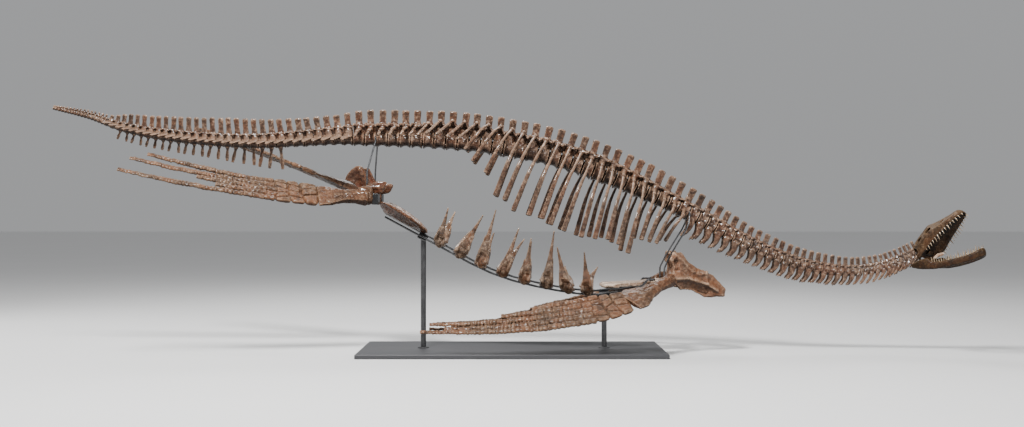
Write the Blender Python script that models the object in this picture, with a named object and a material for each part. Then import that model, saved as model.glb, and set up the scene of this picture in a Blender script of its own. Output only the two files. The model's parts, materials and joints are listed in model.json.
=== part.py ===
# Mounted skeleton of a long-necked plesiosaur, life size, on a plain display stand.
# Metres, +X towards the head, +Y to the animal's left, +Z up. The origin is on the floor, under the middle of the base.

import math

import bmesh
import bpy
import numpy as np
from mathutils import Vector

# ---- driving dimensions -------------------------------------------------------------------------------------------

GAP = 0.0003                      # clearance between pieces that touch

# Centre line of the vertebral bodies, from the tip of the tail to the back of the skull.
BACKBONE = (
    (-3.213, 0.000, 1.708), (-2.954, 0.000, 1.645), (-2.730, 0.000, 1.565), (-2.429, 0.000, 1.505),
    (-2.100, 0.000, 1.470), (-1.799, 0.000, 1.456), (-1.484, 0.000, 1.470), (-1.183, 0.000, 1.487),
    (-0.800, 0.000, 1.484), (-0.434, 0.000, 1.470), (-0.084, 0.000, 1.428), (0.280, 0.000, 1.358),
    (0.602, 0.000, 1.253), (0.903, 0.000, 1.127), (1.267, 0.000, 0.952), (1.526, 0.000, 0.812),
    (1.813, 0.000, 0.679), (2.051, 0.000, 0.599), (2.342, -0.010, 0.560), (2.559, -0.060, 0.588),
    (2.713, -0.125, 0.655), (2.794, -0.175, 0.705),
)

# Sections of the backbone: name, x at the rear, x at the front, vertebrae, relative pitch at the rear and the front.
TAIL_TIP = ("tail_tip", -3.213, -2.840, 16, 0.9, 1.1)
TAIL = ("tail", -2.840, -1.110, 30, 0.8, 1.2)
TRUNK = ("trunk", -1.110, 1.232, 30, 1.0, 1.0)
NECK = ("neck", 1.232, 2.794, 33, 1.42, 0.58)

# Sizes along the backbone: x, half height of the body, height of the arch, height of the spine's top.
VERTEBRA_SIZES = (
    (-3.21, 0.011, 0.016, 0.022), (-2.84, 0.022, 0.034, 0.060), (-2.70, 0.026, 0.046, 0.112),
    (-2.43, 0.030, 0.056, 0.150), (-1.98, 0.033, 0.066, 0.180), (-1.80, 0.034, 0.070, 0.176),
    (-1.45, 0.038, 0.081, 0.168), (-1.20, 0.042, 0.092, 0.175), (-1.05, 0.050, 0.108, 0.208),
    (-0.60, 0.059, 0.117, 0.210), (-0.43, 0.062, 0.120, 0.216), (0.60, 0.070, 0.124, 0.208),
    (1.25, 0.062, 0.108, 0.165), (1.65, 0.048, 0.080, 0.128), (2.05, 0.041, 0.070, 0.120),
    (2.40, 0.033, 0.060, 0.105), (2.79, 0.026, 0.050, 0.092),
)
BODY_WIDTH = 1.15                 # half width of a vertebral body over its half height
BODY_SHARE = 0.62                 # part of the pitch that a vertebral body fills
ARCH_WIDTH = 0.42                 # half width of the arch over the body's half width
FLOOR_WIDTH = 0.50                # half width of the body's underside over its half width
SPINE_LENGTH = 0.29               # half length of a spine along the back, over the pitch

# Trunk ribs by the x of their vertebra: height of the rib head, drop, sweep to the rear and reach to the side.
TRUNK_RIBS = (
    (-1.10, 0.050, 0.05, 0.02, 0.15), (-0.62, 0.100, 0.07, 0.04, 0.17), (-0.48, 0.140, 0.09, 0.07, 0.19),
    (-0.25, 0.140, 0.17, 0.09, 0.21), (-0.13, 0.140, 0.33, 0.11, 0.25), (0.04, 0.131, 0.43, 0.13, 0.31),
    (0.17, 0.113, 0.53, 0.20, 0.35), (0.47, 0.084, 0.495, 0.23, 0.37), (0.62, 0.050, 0.488, 0.15, 0.36),
    (0.79, 0.040, 0.42, 0.12, 0.34), (0.91, 0.022, 0.445, 0.13, 0.31), (0.99, 0.012, 0.285, 0.10, 0.27),
    (1.13, -0.005, 0.25, 0.14, 0.23), (1.20, -0.035, 0.17, 0.13, 0.18),
)
RIB_HEAD_REACH = 0.125            # where a trunk rib starts, at the end of its transverse process
SHORT_RIB = 0.20                  # ribs that drop less than this are straight
NECK_RIBS = ((1.25, 0.122), (1.60, 0.102), (2.00, 0.096), (2.35, 0.078), (2.57, 0.085), (2.80, 0.080))
CHEVRONS = ((-2.73, 0.084), (-2.43, 0.096), (-2.10, 0.112), (-1.80, 0.150), (-1.60, 0.188))
CHEVRON_SPAN = (-2.76, -1.58)     # chevrons hang only here
CAUDAL_RIB = 0.055                # how far the ribs of the tail stand out

# Skull and jaw, in their own frame: x forward from the jaw joint, y left, z up.
JAW_JOINT = Vector((2.819, -0.187, 0.634))
HEAD_YAW = math.radians(-48.0)
SKULL_PITCH = math.radians(41.0)
JAW_PITCH = math.radians(12.0)
# x, half width, underside, top
SKULL_STATIONS = (
    (-0.015, 0.078, 0.000, 0.085), (0.030, 0.102, 0.004, 0.125), (0.090, 0.108, 0.010, 0.142),
    (0.150, 0.106, 0.018, 0.152), (0.200, 0.098, 0.030, 0.160), (0.260, 0.084, 0.036, 0.142),
    (0.320, 0.070, 0.042, 0.124), (0.380, 0.055, 0.048, 0.112), (0.425, 0.040, 0.052, 0.106),
    (0.450, 0.022, 0.048, 0.080),
)
# x, distance of the jaw's middle line from the centre plane, half thickness, underside, top
JAW_STATIONS = (
    (-0.030, 0.098, 0.011, -0.030, -0.004), (0.030, 0.104, 0.012, -0.050, 0.016),
    (0.095, 0.104, 0.011, -0.062, 0.014), (0.130, 0.100, 0.011, -0.067, -0.016),
    (0.210, 0.088, 0.011, -0.069, -0.022), (0.300, 0.068, 0.011, -0.065, -0.018),
    (0.380, 0.046, 0.012, -0.056, -0.013), (0.430, 0.026, 0.012, -0.047, -0.006),
)
JAW_CHIN = (0.446, 0.0, 0.012, -0.042, 0.000)
TOOTH_HALF = 0.007                # half width of a tooth at its root
UPPER_TOOTH = 0.034
LOWER_TOOTH = 0.030

# Limbs. A bone's chord points to the leading edge.
HUMERUS_HEAD = Vector((1.085, -0.2010, 0.512))
ELBOW = Vector((0.783, -0.400, 0.378))
FRONT_BOW = {"right": Vector((0.190, -0.500, 0.240)), "left": Vector((0.190, -0.500, 0.160))}
FRONT_TIP = {"right": Vector((-0.607, -0.420, 0.236)), "left": Vector((-0.607, -0.420, 0.186))}
FRONT_CHORD = Vector((0.617, -0.704, -0.358))
FRONT_TIP_CHORD = Vector((0.0, -0.72, -0.69))
FEMUR_HEAD_RIGHT = Vector((-0.9575, -0.165, 1.083))
KNEE_RIGHT = Vector((-1.317, -0.280, 1.091))
HIND_TIP_RIGHT = Vector((-2.556, -0.560, 1.325))
HIND_BOW_RIGHT = Vector((-2.000, -0.500, 1.175))
HIND_CHORD_RIGHT = Vector((0.179, -0.726, -0.625))
FEMUR_HEAD_LEFT = Vector((-0.9575, 0.150, 1.083))
KNEE_LEFT = Vector((-1.385, 0.360, 1.232))
HIND_TIP_LEFT = Vector((-2.400, 0.850, 1.600))
HIND_BOW_LEFT = Vector((-2.0075, 0.595, 1.491))
HIND_CHORD_LEFT = Vector((0.334, 0.906, -0.259))
# where each digit ends along the paddle, from the trailing edge to the leading edge
FRONT_DIGITS = (0.53, 0.65, 0.965, 0.90, 1.00)
HIND_DIGITS = (0.86, 0.95, 0.58, 0.49, 1.00)
FRONT_DRIFT = (0.0, 0.0, 0.0, 0.0, 0.0)   # how far each digit strays to the leading side, over the half width
HIND_DRIFT = (-0.35, 0.08, 0.0, 0.0, 0.15)
FRONT_SPREAD = (1.15, 1.05, 0.78)  # width of the wrist, of the palm's end and of the tip, over the elbow's
HIND_SPREAD = (1.06, 1.00, 1.04)
PALM_END = 0.36                   # where the digits part

# Black steel rods under the belly and down from the backbone.
ROD_RADIUS = 0.0060
RAIL_RADIUS = 0.0075
RAIL_SPREAD = 0.040               # each rail's distance from the centre plane, under the belly
RAIL_STEP = 0.024                 # the left rail lies this much higher than the right one
# from a rail's middle to what it bears on
RAIL_SEAT = RAIL_RADIUS * math.cos(math.atan2(RAIL_STEP, 2 * RAIL_SPREAD)) + 0.0004
RAIL = (
    (-0.885, 0.945), (-0.580, 0.781), (-0.440, 0.705), (-0.300, 0.628), (-0.148, 0.556), (0.003, 0.503),
    (0.160, 0.464), (0.312, 0.434), (0.452, 0.412), (0.590, 0.404), (0.700, 0.417),
)
RAIL_FRONT = ((0.797, 0.090, 0.437), (0.883, 0.136, 0.461), (0.915, 0.140, 0.490), (0.932, 0.139, 0.512),
              (0.985, 0.120, 0.5130))
# Belly ribs: x, x and z of the right tip, x and z of the left tip, half length at the middle.
GASTRALIA = (
    (-0.510, -0.437, 1.007, -0.406, 0.980, 0.050), (-0.370, -0.199, 0.956, -0.215, 0.940, 0.054),
    (-0.224, -0.110, 0.994, -0.128, 0.831, 0.050), (-0.073, 0.048, 0.870, 0.089, 0.788, 0.050),
    (0.082, 0.131, 0.797, 0.140, 0.770, 0.050), (0.236, 0.289, 0.849, 0.292, 0.645, 0.052),
    (0.382, 0.309, 0.739, 0.378, 0.595, 0.055), (0.521, 0.495, 0.705, 0.613, 0.588, 0.052),
)
GASTRALIA_REACH = 0.19

# Hangers: the vertebra they hang behind, and their route on each side.
CHEST_ROUTE = (
    (1.226, 0.100, 0.905), (1.200, 0.106, 0.850), (1.159, 0.108, 0.786), (1.089, 0.115, 0.671), (1.050, 0.128, 0.590),
    (1.050, 0.135, 0.5105),
)
HANGERS = {
    "pelvis": (2, {
        "right": ((-1.003, 0.105, 1.260), (-1.003, 0.105, 1.1668)),
        "left": ((-0.968, 0.105, 1.260), (-0.968, 0.105, 1.1826)),
    }),
    "chest": (30, {"right": CHEST_ROUTE, "left": CHEST_ROUTE}),
}

# Stand.
BASE_LENGTH = 2.10
BASE_WIDTH = 0.92
BASE_HEIGHT = 0.030
POST_RADIUS = 0.019
POST_X = {"rear": -0.620, "front": 0.645}
SADDLE_HALF = (0.034, 0.062)
SADDLE_THICKNESS = 0.008

COLOURS = {
    "bone": ((0.30, 0.19, 0.13), 0.42, 0.0), "paddle": ((0.33, 0.20, 0.13), 0.45, 0.0),
    "skull": ((0.26, 0.19, 0.13), 0.42, 0.0), "girdle": ((0.33, 0.19, 0.12), 0.40, 0.0),
    "rod": ((0.03, 0.03, 0.032), 0.35, 0.6), "stand": ((0.05, 0.05, 0.055), 0.45, 0.3),
}


# ---- helpers ------------------------------------------------------------------------------------------------------

def clear_scene():
    for thing in list(bpy.data.objects):
        bpy.data.objects.remove(thing, do_unlink=True)


def finish_object(name, bm, finish, mirror=False, rounded=False):
    """Face the mesh outwards, mirror it to the left if asked, and give it a material of its own."""
    if mirror:
        bmesh.ops.scale(bm, vec=(1.0, -1.0, 1.0), verts=bm.verts)
    bmesh.ops.recalc_face_normals(bm, faces=bm.faces)
    if bm.calc_volume(signed=True) < 0.0:
        bmesh.ops.reverse_faces(bm, faces=bm.faces)
    for face in bm.faces:
        face.smooth = rounded and len(face.verts) == 4
    mesh = bpy.data.meshes.new(name)
    bm.to_mesh(mesh)
    bm.free()
    colour, roughness, metallic = COLOURS[finish]
    material = bpy.data.materials.new(name)
    material.use_nodes = True
    shader = material.node_tree.nodes["Principled BSDF"]
    shader.inputs["Base Color"].default_value = (*colour, 1.0)
    shader.inputs["Roughness"].default_value = roughness
    shader.inputs["Metallic"].default_value = metallic
    mesh.materials.append(material)
    made = bpy.data.objects.new(name, mesh)
    bpy.context.scene.collection.objects.link(made)
    return made


def table(rows, column, x):
    """Read one column of a size table at x."""
    return float(np.interp(x, [row[0] for row in rows], [row[column] for row in rows]))


def loft(bm, rings):
    """Join rings of points into a closed tube. Returns its faces by segment and side."""
    loops = [[bm.verts.new(point) for point in ring] for ring in rings]
    count = len(loops[0])
    faces = []
    for near, far in zip(loops, loops[1:]):
        faces.append([
            bm.faces.new((near[i], near[(i + 1) % count], far[(i + 1) % count], far[i])) for i in range(count)
        ])
    bm.faces.new(loops[0][::-1])
    bm.faces.new(loops[-1])
    return faces


def grow(bm, face, outward, axis, sections):
    """Extrude one face of a body through sections: centre, direction, half size along the axis and across it."""
    middle = face.calc_center_median()
    across = outward.cross(axis)
    loop = list(face.verts)
    spots = [Vector(((vert.co - middle).dot(axis), (vert.co - middle).dot(across))).normalized() for vert in loop]
    corners = [Vector(corner) for corner in ((1, 1), (-1, 1), (-1, -1), (1, -1))]
    orders = [turn[k:] + turn[:k] for turn in (corners, corners[::-1]) for k in range(4)]
    signs = max(orders, key=lambda order: sum(corner.dot(spot) for corner, spot in zip(order, spots)))
    bm.faces.remove(face)
    for centre, direction, half_along, half_across in sections:
        direction = direction.normalized()
        along = (axis - direction * axis.dot(direction)).normalized()
        side = direction.cross(along)
        ring = [bm.verts.new(centre + along * a * half_along + side * b * half_across) for a, b in signs]
        for i, vert in enumerate(loop):
            following = (i + 1) % len(loop)
            bm.faces.new((vert, loop[following], ring[following], ring[i]))
        loop = ring
    bm.faces.new(loop)


def ellipse(centre, first, second, count=8):
    """Points of an ellipse with the two half axes first and second."""
    step = 2.0 * math.pi / count
    return [centre + first * math.cos(step * (i + 0.5)) + second * math.sin(step * (i + 0.5)) for i in range(count)]


def tube(bm, points, radius, sides=6):
    """Loft a rod of one radius along a route, mitred at each bend."""
    points = [Vector(point) for point in points]
    rings = []
    for i, point in enumerate(points):
        before = (point - points[i - 1]).normalized() if i else None
        after = (points[i + 1] - point).normalized() if i + 1 < len(points) else None
        heading = ((before or after) + (after or before)).normalized()
        side = Vector((0.0, 1.0, 0.0)) - heading * heading.y
        side.normalize()
        lift = heading.cross(side)
        rings.append(ellipse(point, side * radius, lift * radius, sides))
    loft(bm, rings)


def plate(bm, outline, corner, along, across, thickness):
    """A flat bone: an outline in a plane, with its rim drawn in on both faces."""
    normal = along.cross(across).normalized()
    middle = Vector((sum(p[0] for p in outline), sum(p[1] for p in outline))) / len(outline)
    rings = []
    for shrink, lift in ((0.90, -0.5), (1.0, -0.2), (1.0, 0.2), (0.90, 0.5)):
        ring = []
        for p, q in outline:
            u = middle.x + (p - middle.x) * shrink
            v = middle.y + (q - middle.y) * shrink
            ring.append(corner + along * u + across * v + normal * thickness * lift)
        rings.append(ring)
    loft(bm, rings)


def mirrored(point):
    return Vector((point[0], -point[1], point[2]))


# ---- backbone -----------------------------------------------------------------------------------------------------

class Backbone:
    """The centre line as a smooth curve, read by the distance along it."""

    def __init__(self, points, steps=24):
        points = [Vector(point) for point in points]
        ends = [points[0] * 2 - points[1]] + points + [points[-1] * 2 - points[-2]]
        samples = []
        for a, b, c, d in zip(ends, ends[1:], ends[2:], ends[3:]):
            for i in range(steps):
                t = i / steps
                samples.append(0.5 * (2 * b + (c - a) * t + (2 * a - 5 * b + 4 * c - d) * t ** 2
                                      + (3 * b - a - 3 * c + d) * t ** 3))
        samples.append(points[-1])
        self.samples = np.array([tuple(sample) for sample in samples])
        steps_between = np.linalg.norm(np.diff(self.samples, axis=0), axis=1)
        self.distance = np.concatenate([[0.0], np.cumsum(steps_between)])

    def at_x(self, x):
        return float(np.interp(x, self.samples[:, 0], self.distance))

    def point(self, s):
        return Vector([float(np.interp(s, self.distance, self.samples[:, i])) for i in range(3)])

    def frame(self, s):
        """Point on the line, with the directions forward, left and up there."""
        forward = (self.point(s + 0.02) - self.point(s - 0.02)).normalized()
        left = Vector((0.0, 0.0, 1.0)).cross(forward).normalized()
        return self.point(s), forward, left, forward.cross(left)


SPINE = Backbone(BACKBONE)


def borders(section):
    """Distances along the backbone where the vertebrae of a section begin and end."""
    _, rear, front, count, rear_pitch, front_pitch = section
    start, end = SPINE.at_x(rear), SPINE.at_x(front)
    share = np.linspace(0.0, 1.0, count + 1)
    eased = (rear_pitch * share + (front_pitch - rear_pitch) * share ** 2 / 2) / ((rear_pitch + front_pitch) / 2)
    return [start + (end - start) * float(value) for value in eased]


def vertebra_ring(s, girth, side=0):
    """Outline of a vertebra across the backbone: whole, or its half on one side of the centre plane."""
    centre, _, left, up = SPINE.frame(s)
    half_height = table(VERTEBRA_SIZES, 1, centre.x)
    arch = table(VERTEBRA_SIZES, 2, centre.x)
    half_width = half_height * BODY_WIDTH * girth
    top = ARCH_WIDTH * half_width
    floor = FLOOR_WIDTH * half_width
    if side:
        plane = GAP / 2
        outline = ((plane, arch), (top, arch), (half_width, 0.1 * half_height), (floor, -half_height),
                   (plane, -half_height))
        outline = [(side * y, z) for y, z in outline]
    else:
        outline = ((top, arch), (-top, arch), (-half_width, 0.1 * half_height), (-floor, -half_height),
                   (floor, -half_height), (half_width, 0.1 * half_height))
    return [centre + left * y + up * z for y, z in outline]


def vertebrae(bm, edges, side=0):
    """A row of vertebrae between the given borders. Yields each one's middle, pitch and faces."""
    rings = [vertebra_ring(edges[0] + GAP / 2, 0.90, side)]
    for start, end in zip(edges, edges[1:]):
        margin = (end - start) * (1 - BODY_SHARE) / 2
        rings.append(vertebra_ring(start + margin, 0.92, side))
        rings.append(vertebra_ring(end - margin, 1.0, side))
    rings.append(vertebra_ring(edges[-1] - GAP / 2, 0.90, side))
    faces = loft(bm, rings)
    return [((a + b) / 2, b - a, faces[2 * i + 1]) for i, (a, b) in enumerate(zip(edges, edges[1:]))]


def add_spine(bm, face, s, pitch, lean=0.0, side=0):
    """A blade of bone standing up from the arch."""
    centre, forward, left, up = SPINE.frame(s)
    arch = table(VERTEBRA_SIZES, 2, centre.x)
    top = table(VERTEBRA_SIZES, 3, centre.x)
    half_thickness = 0.0035 + 0.0022 * pitch / 0.08
    offset = left * side * (GAP / 2 + half_thickness)
    rise = up - forward * lean
    head = centre + up * arch + rise * (top - arch) + offset
    grow(bm, face, up, forward, ((head, up, SPINE_LENGTH * pitch, half_thickness),))


def add_trunk_rib(bm, face, s, side):
    """Transverse process and rib of one side of a trunk vertebra."""
    centre, forward, left, up = SPINE.frame(s)
    x = centre.x
    drop, sweep, reach = (table(TRUNK_RIBS, column, x) for column in (2, 3, 4))
    outward = left * side
    thick = 0.010 + 0.007 * min(1.0, drop / 0.4)
    head = centre + outward * RIB_HEAD_REACH + up * table(TRUNK_RIBS, 1, x)
    bow = head + Vector((-0.55 * sweep, side * 1.02 * (reach - RIB_HEAD_REACH), -0.48 * drop))
    tip = head + Vector((-sweep, side * 0.95 * (reach - RIB_HEAD_REACH), -drop))
    slope = (outward + up).normalized()
    sections = [(head, (bow - head).normalized() + slope, 0.011, 0.011), (tip, tip - bow, thick, 0.010)]
    if drop > SHORT_RIB:
        sections.insert(1, (bow, tip - head, 0.85 * thick, 0.009))
    grow(bm, face, slope, forward, sections)


def make_trunk():
    """Rib cage with the backbone over it, parted down the centre plane into its two sides."""
    edges = borders(TRUNK)
    for name, side in (("ribcage_right", -1), ("ribcage_left", 1)):
        bm = bmesh.new()
        for s, pitch, faces in vertebrae(bm, edges, side):
            add_spine(bm, faces[0], s, pitch, side=side)
            add_trunk_rib(bm, faces[1], s, side)
        finish_object(name, bm, "bone")


def add_neck_rib(bm, face, s, pitch, side):
    """Ribs of the neck all hang down and to the rear, whichever way the neck runs."""
    centre, forward, left, up = SPINE.frame(s)
    half_height = table(VERTEBRA_SIZES, 1, centre.x)
    outward = left * side
    fall = Vector((-0.45, 0.0, -0.89))
    root = centre + outward * 0.85 * half_height - up * 0.70 * half_height
    tip = root + outward * 0.15 * half_height + fall * table(NECK_RIBS, 1, centre.x)
    grow(bm, face, (outward * 0.5 - up).normalized(), forward, ((tip, fall, 0.15 * pitch, 0.12 * half_height),))


def make_neck():
    """Neck in three lengths, with a pair of ribs on each vertebra."""
    edges = borders(NECK)
    third = NECK[3] // 3
    for i, name in enumerate(("neck_rear", "neck_middle", "neck_front")):
        bm = bmesh.new()
        for s, pitch, faces in vertebrae(bm, edges[i * third:(i + 1) * third + 1]):
            add_spine(bm, faces[0], s, pitch)
            add_neck_rib(bm, faces[2], s, pitch, -1)
            add_neck_rib(bm, faces[4], s, pitch, 1)
        finish_object(name, bm, "bone")


def add_caudal_rib(bm, face, s, pitch, side):
    centre, forward, left, up = SPINE.frame(s)
    half_height = table(VERTEBRA_SIZES, 1, centre.x)
    outward = left * side
    tip = centre + outward * (half_height * BODY_WIDTH + CAUDAL_RIB) - up * 0.75 * half_height - forward * 0.3 * pitch
    grow(bm, face, (outward - up * 0.5).normalized(), forward, (
        (tip, outward - forward * 0.2, 0.20 * pitch, 0.16 * half_height),
    ))


def add_chevron(bm, face, s, pitch):
    centre, forward, _, up = SPINE.frame(s)
    length = table(CHEVRONS, 1, centre.x)
    half_height = table(VERTEBRA_SIZES, 1, centre.x)
    root = centre - up * 1.15 * half_height - forward * 0.15 * pitch
    tip = centre - up * length - forward * 0.35 * (length - half_height)
    grow(bm, face, -up, forward, (
        (root, -up, 0.14 * pitch, 0.40 * half_height),
        (tip, -up, 0.11 * pitch, 0.12 * half_height),
    ))


def make_tail():
    """Tail in two lengths of vertebrae with chevrons, and a fine tip."""
    edges = borders(TAIL)
    half = TAIL[3] // 2
    for i, name in enumerate(("tail_middle", "tail_root")):
        bm = bmesh.new()
        for s, pitch, faces in vertebrae(bm, edges[i * half:(i + 1) * half + 1]):
            x = SPINE.point(s).x
            add_spine(bm, faces[0], s, pitch, lean=0.14)
            add_caudal_rib(bm, faces[2], s, pitch, -1)
            add_caudal_rib(bm, faces[4], s, pitch, 1)
            if CHEVRON_SPAN[0] < x < CHEVRON_SPAN[1]:
                add_chevron(bm, faces[3], s, pitch)
        finish_object(name, bm, "bone")
    bm = bmesh.new()
    edges = borders(TAIL_TIP)
    rings = [vertebra_ring(s, 1.0 - 0.12 * (i % 2)) for i, s in enumerate(edges[:-1])]
    rings.append(vertebra_ring(edges[-1] - GAP / 2, 0.90))
    faces = loft(bm, rings)
    for start, end, sides in zip(edges, edges[1:], faces):
        add_spine(bm, sides[0], (start + end) / 2, end - start, lean=0.3)
    finish_object("tail_tip", bm, "bone")


# ---- head ---------------------------------------------------------------------------------------------------------

def head_frame(pitch):
    """Directions forward, left and up of the skull or the jaw."""
    left = Vector((-math.sin(HEAD_YAW), math.cos(HEAD_YAW), 0.0))
    level = Vector((math.cos(HEAD_YAW), math.sin(HEAD_YAW), 0.0))
    forward = level * math.cos(pitch) + Vector((0.0, 0.0, math.sin(pitch)))
    return forward, left, forward.cross(left)


def add_tooth(bm, face, root, direction, forward, length):
    grow(bm, face, direction, forward, (
        (root, direction, TOOTH_HALF, TOOTH_HALF),
        (root + direction * length, direction, 0.0015, 0.0015),
    ))


def make_skull():
    """Skull with its upper teeth. The back is cut square to the neck."""
    forward, left, up = head_frame(SKULL_PITCH)
    bm = bmesh.new()
    rings = []
    for x, half_width, low, top in SKULL_STATIONS:
        side = low + 0.42 * (top - low)
        outline = ((0.30 * half_width, top), (-0.30 * half_width, top), (-half_width, side), (-0.94 * half_width, low),
                   (-0.60 * half_width, low + 0.004), (0.60 * half_width, low + 0.004), (0.94 * half_width, low),
                   (half_width, side))
        rings.append([JAW_JOINT + forward * x + left * y + up * z for y, z in outline])
    faces = loft(bm, rings)
    for i, (rear, front) in enumerate(zip(SKULL_STATIONS, SKULL_STATIONS[1:])):
        if i < 2:
            continue
        x, half_width, low = ((rear[k] + front[k]) / 2 for k in (0, 1, 2))
        for side, face in ((-1, faces[i][3]), (1, faces[i][5])):
            root = JAW_JOINT + forward * x + left * side * 0.80 * half_width + up * (low - 0.004)
            add_tooth(bm, face, root, (forward * 0.25 - up).normalized(), forward, UPPER_TOOTH)
    centre, ahead, _, _ = SPINE.frame(SPINE.at_x(NECK[2]))
    everything = bm.verts[:] + bm.edges[:] + bm.faces[:]
    cut = bmesh.ops.bisect_plane(bm, geom=everything, plane_co=centre + ahead * GAP, plane_no=ahead, clear_inner=True)
    rim = [edge for edge in cut["geom_cut"] if isinstance(edge, bmesh.types.BMEdge)]
    bmesh.ops.holes_fill(bm, edges=rim, sides=0)
    finish_object("skull", bm, "skull")


def make_mandible():
    """Lower jaw: both rami in one bow that meets at the chin, with its teeth."""
    forward, left, up = head_frame(JAW_PITCH)
    stations = [(x, -y, half, low, top) for x, y, half, low, top in JAW_STATIONS]
    stations += [JAW_CHIN]
    stations += [(x, y, half, low, top) for x, y, half, low, top in JAW_STATIONS[::-1]]
    rings = []
    for i, (x, y, half, low, top) in enumerate(stations):
        before, after = stations[max(i - 1, 0)], stations[min(i + 1, len(stations) - 1)]
        heading = Vector((after[0] - before[0], after[1] - before[1])).normalized()
        outer = Vector((heading.y, -heading.x)) * half
        ring = ((x - outer.x, y - outer.y, top), (x + outer.x, y + outer.y, top),
                (x + outer.x, y + outer.y, low), (x - outer.x, y - outer.y, low))
        rings.append([JAW_JOINT + forward * a + left * b + up * c for a, b, c in ring])
    bm = bmesh.new()
    faces = loft(bm, rings)
    for rear, front, sides in zip(stations, stations[1:], faces):
        x, y, top = ((rear[k] + front[k]) / 2 for k in (0, 1, 4))
        if x < 0.11:
            continue
        root = JAW_JOINT + forward * x + left * y + up * (top + 0.004)
        add_tooth(bm, sides[0], root, (up + forward * 0.2).normalized(), forward, LOWER_TOOTH)
    finish_object("mandible", bm, "skull")


# ---- limbs --------------------------------------------------------------------------------------------------------

def make_limb_bone(name, mirror, head, head_axes, joint, chord, sizes, end_width):
    """Humerus or femur: a flat-ended head, a round shaft and a broad flat far end."""
    heading = (joint - head).normalized()
    chord = (chord - heading * chord.dot(heading)).normalized()
    normal = heading.cross(chord)
    rings = [ellipse(head, *head_axes)]
    for share, half_chord, half_normal in sizes:
        rings.append(ellipse(head.lerp(joint, share), chord * half_chord, normal * half_normal))
    rings.append(ellipse(joint, chord * end_width, normal * 0.018))
    bm = bmesh.new()
    loft(bm, rings)
    finish_object(name, bm, "paddle", mirror, rounded=True)
    return heading, chord, normal


def make_flipper(name, mirror, joint, root_frame, bow, tip, tip_chord, digits, drift, spread, half_width):
    """Forearm, wrist and hand in one: a broad palm that parts into five long digits."""
    heading, chord, normal = root_frame

    def place(share):
        """Middle of the paddle at a share of its length, with its heading, chord and normal."""
        centre = joint * (1 - share) ** 2 + bow * 2 * share * (1 - share) + tip * share ** 2
        ahead = ((bow - joint) * (1 - share) + (tip - bow) * share).normalized()
        lead = chord.lerp(tip_chord, min(1.0, 2.0 * share))
        lead = (lead - ahead * lead.dot(ahead)).normalized()
        return centre, ahead, lead, ahead.cross(lead)

    def across(count, width):
        """Edges of the digits over the paddle's width, from the trailing to the leading edge."""
        pitch = 2.0 * width / count
        cuts = []
        for i in range(count):
            cuts += [-width + pitch * (i + 0.08), -width + pitch * (i + 0.92)]
        cuts[0], cuts[-1] = -width, width
        return cuts

    rings = []
    for share, width, half in ((0.0, half_width, 0.016), (0.15, spread[0] * half_width, 0.015),
                               (PALM_END, spread[1] * half_width, 0.011)):
        centre, _, lead, lift = place(share)
        if share == 0.0:
            centre, lead, lift = joint + heading * GAP, chord, normal
        cuts = across(len(digits), width)
        taper = [1.0 - 0.45 * abs(cut / width) ** 3 for cut in cuts]
        upper = [centre + lead * cut + lift * half * k for cut, k in zip(cuts, taper)]
        lower = [centre + lead * cut - lift * half * k for cut, k in zip(cuts, taper)]
        rings.append(upper + lower[::-1])

    bm = bmesh.new()
    loops = [[bm.verts.new(point) for point in ring] for ring in rings]
    count = len(loops[0])
    for near, far in zip(loops, loops[1:]):
        for i in range(count):
            bm.faces.new((near[i], near[(i + 1) % count], far[(i + 1) % count], far[i]))
    ends = []
    for loop, last in ((loops[0], False), (loops[-1], True)):
        for i in range(count // 2 - 1):
            face = bm.faces.new((loop[i], loop[i + 1], loop[count - 2 - i], loop[count - 1 - i]))
            if last and i % 2 == 0:
                ends.append(face)
    for i, (face, reach, stray) in enumerate(zip(ends, digits, drift)):
        offset = (2 * i + 1 - len(digits)) / len(digits) * half_width
        sections = []
        for share, half_digit, thin in ((PALM_END + 0.5 * (reach - PALM_END), 0.0200, 0.0085), (reach, 0.0130, 0.0060)):
            centre, ahead, lead, _ = place(share)
            run = (share - PALM_END) / (1.0 - PALM_END)
            fan = spread[1] + (spread[2] - spread[1]) * run
            sections.append((centre + lead * (offset * fan + stray * half_width * run), ahead, half_digit, thin))
        _, ahead, lead, _ = place(PALM_END)
        grow(bm, face, ahead, lead, sections)
    finish_object(name, bm, "paddle", mirror)


def make_front_limbs():
    sizes = ((0.12, 0.046, 0.042), (0.32, 0.044, 0.036), (0.55, 0.070, 0.034), (0.82, 0.132, 0.024))
    axes = (Vector((0.050, 0.0, 0.0)), Vector((0.0, 0.0, 0.050)))
    for side, mirror in (("right", False), ("left", True)):
        frame = make_limb_bone(f"humerus_{side}", mirror, HUMERUS_HEAD, axes, ELBOW, FRONT_CHORD, sizes, 0.122)
        make_flipper(f"flipper_front_{side}", mirror, ELBOW, frame, FRONT_BOW[side], FRONT_TIP[side],
                     FRONT_TIP_CHORD, FRONT_DIGITS, FRONT_DRIFT, FRONT_SPREAD, 0.122)


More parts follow.
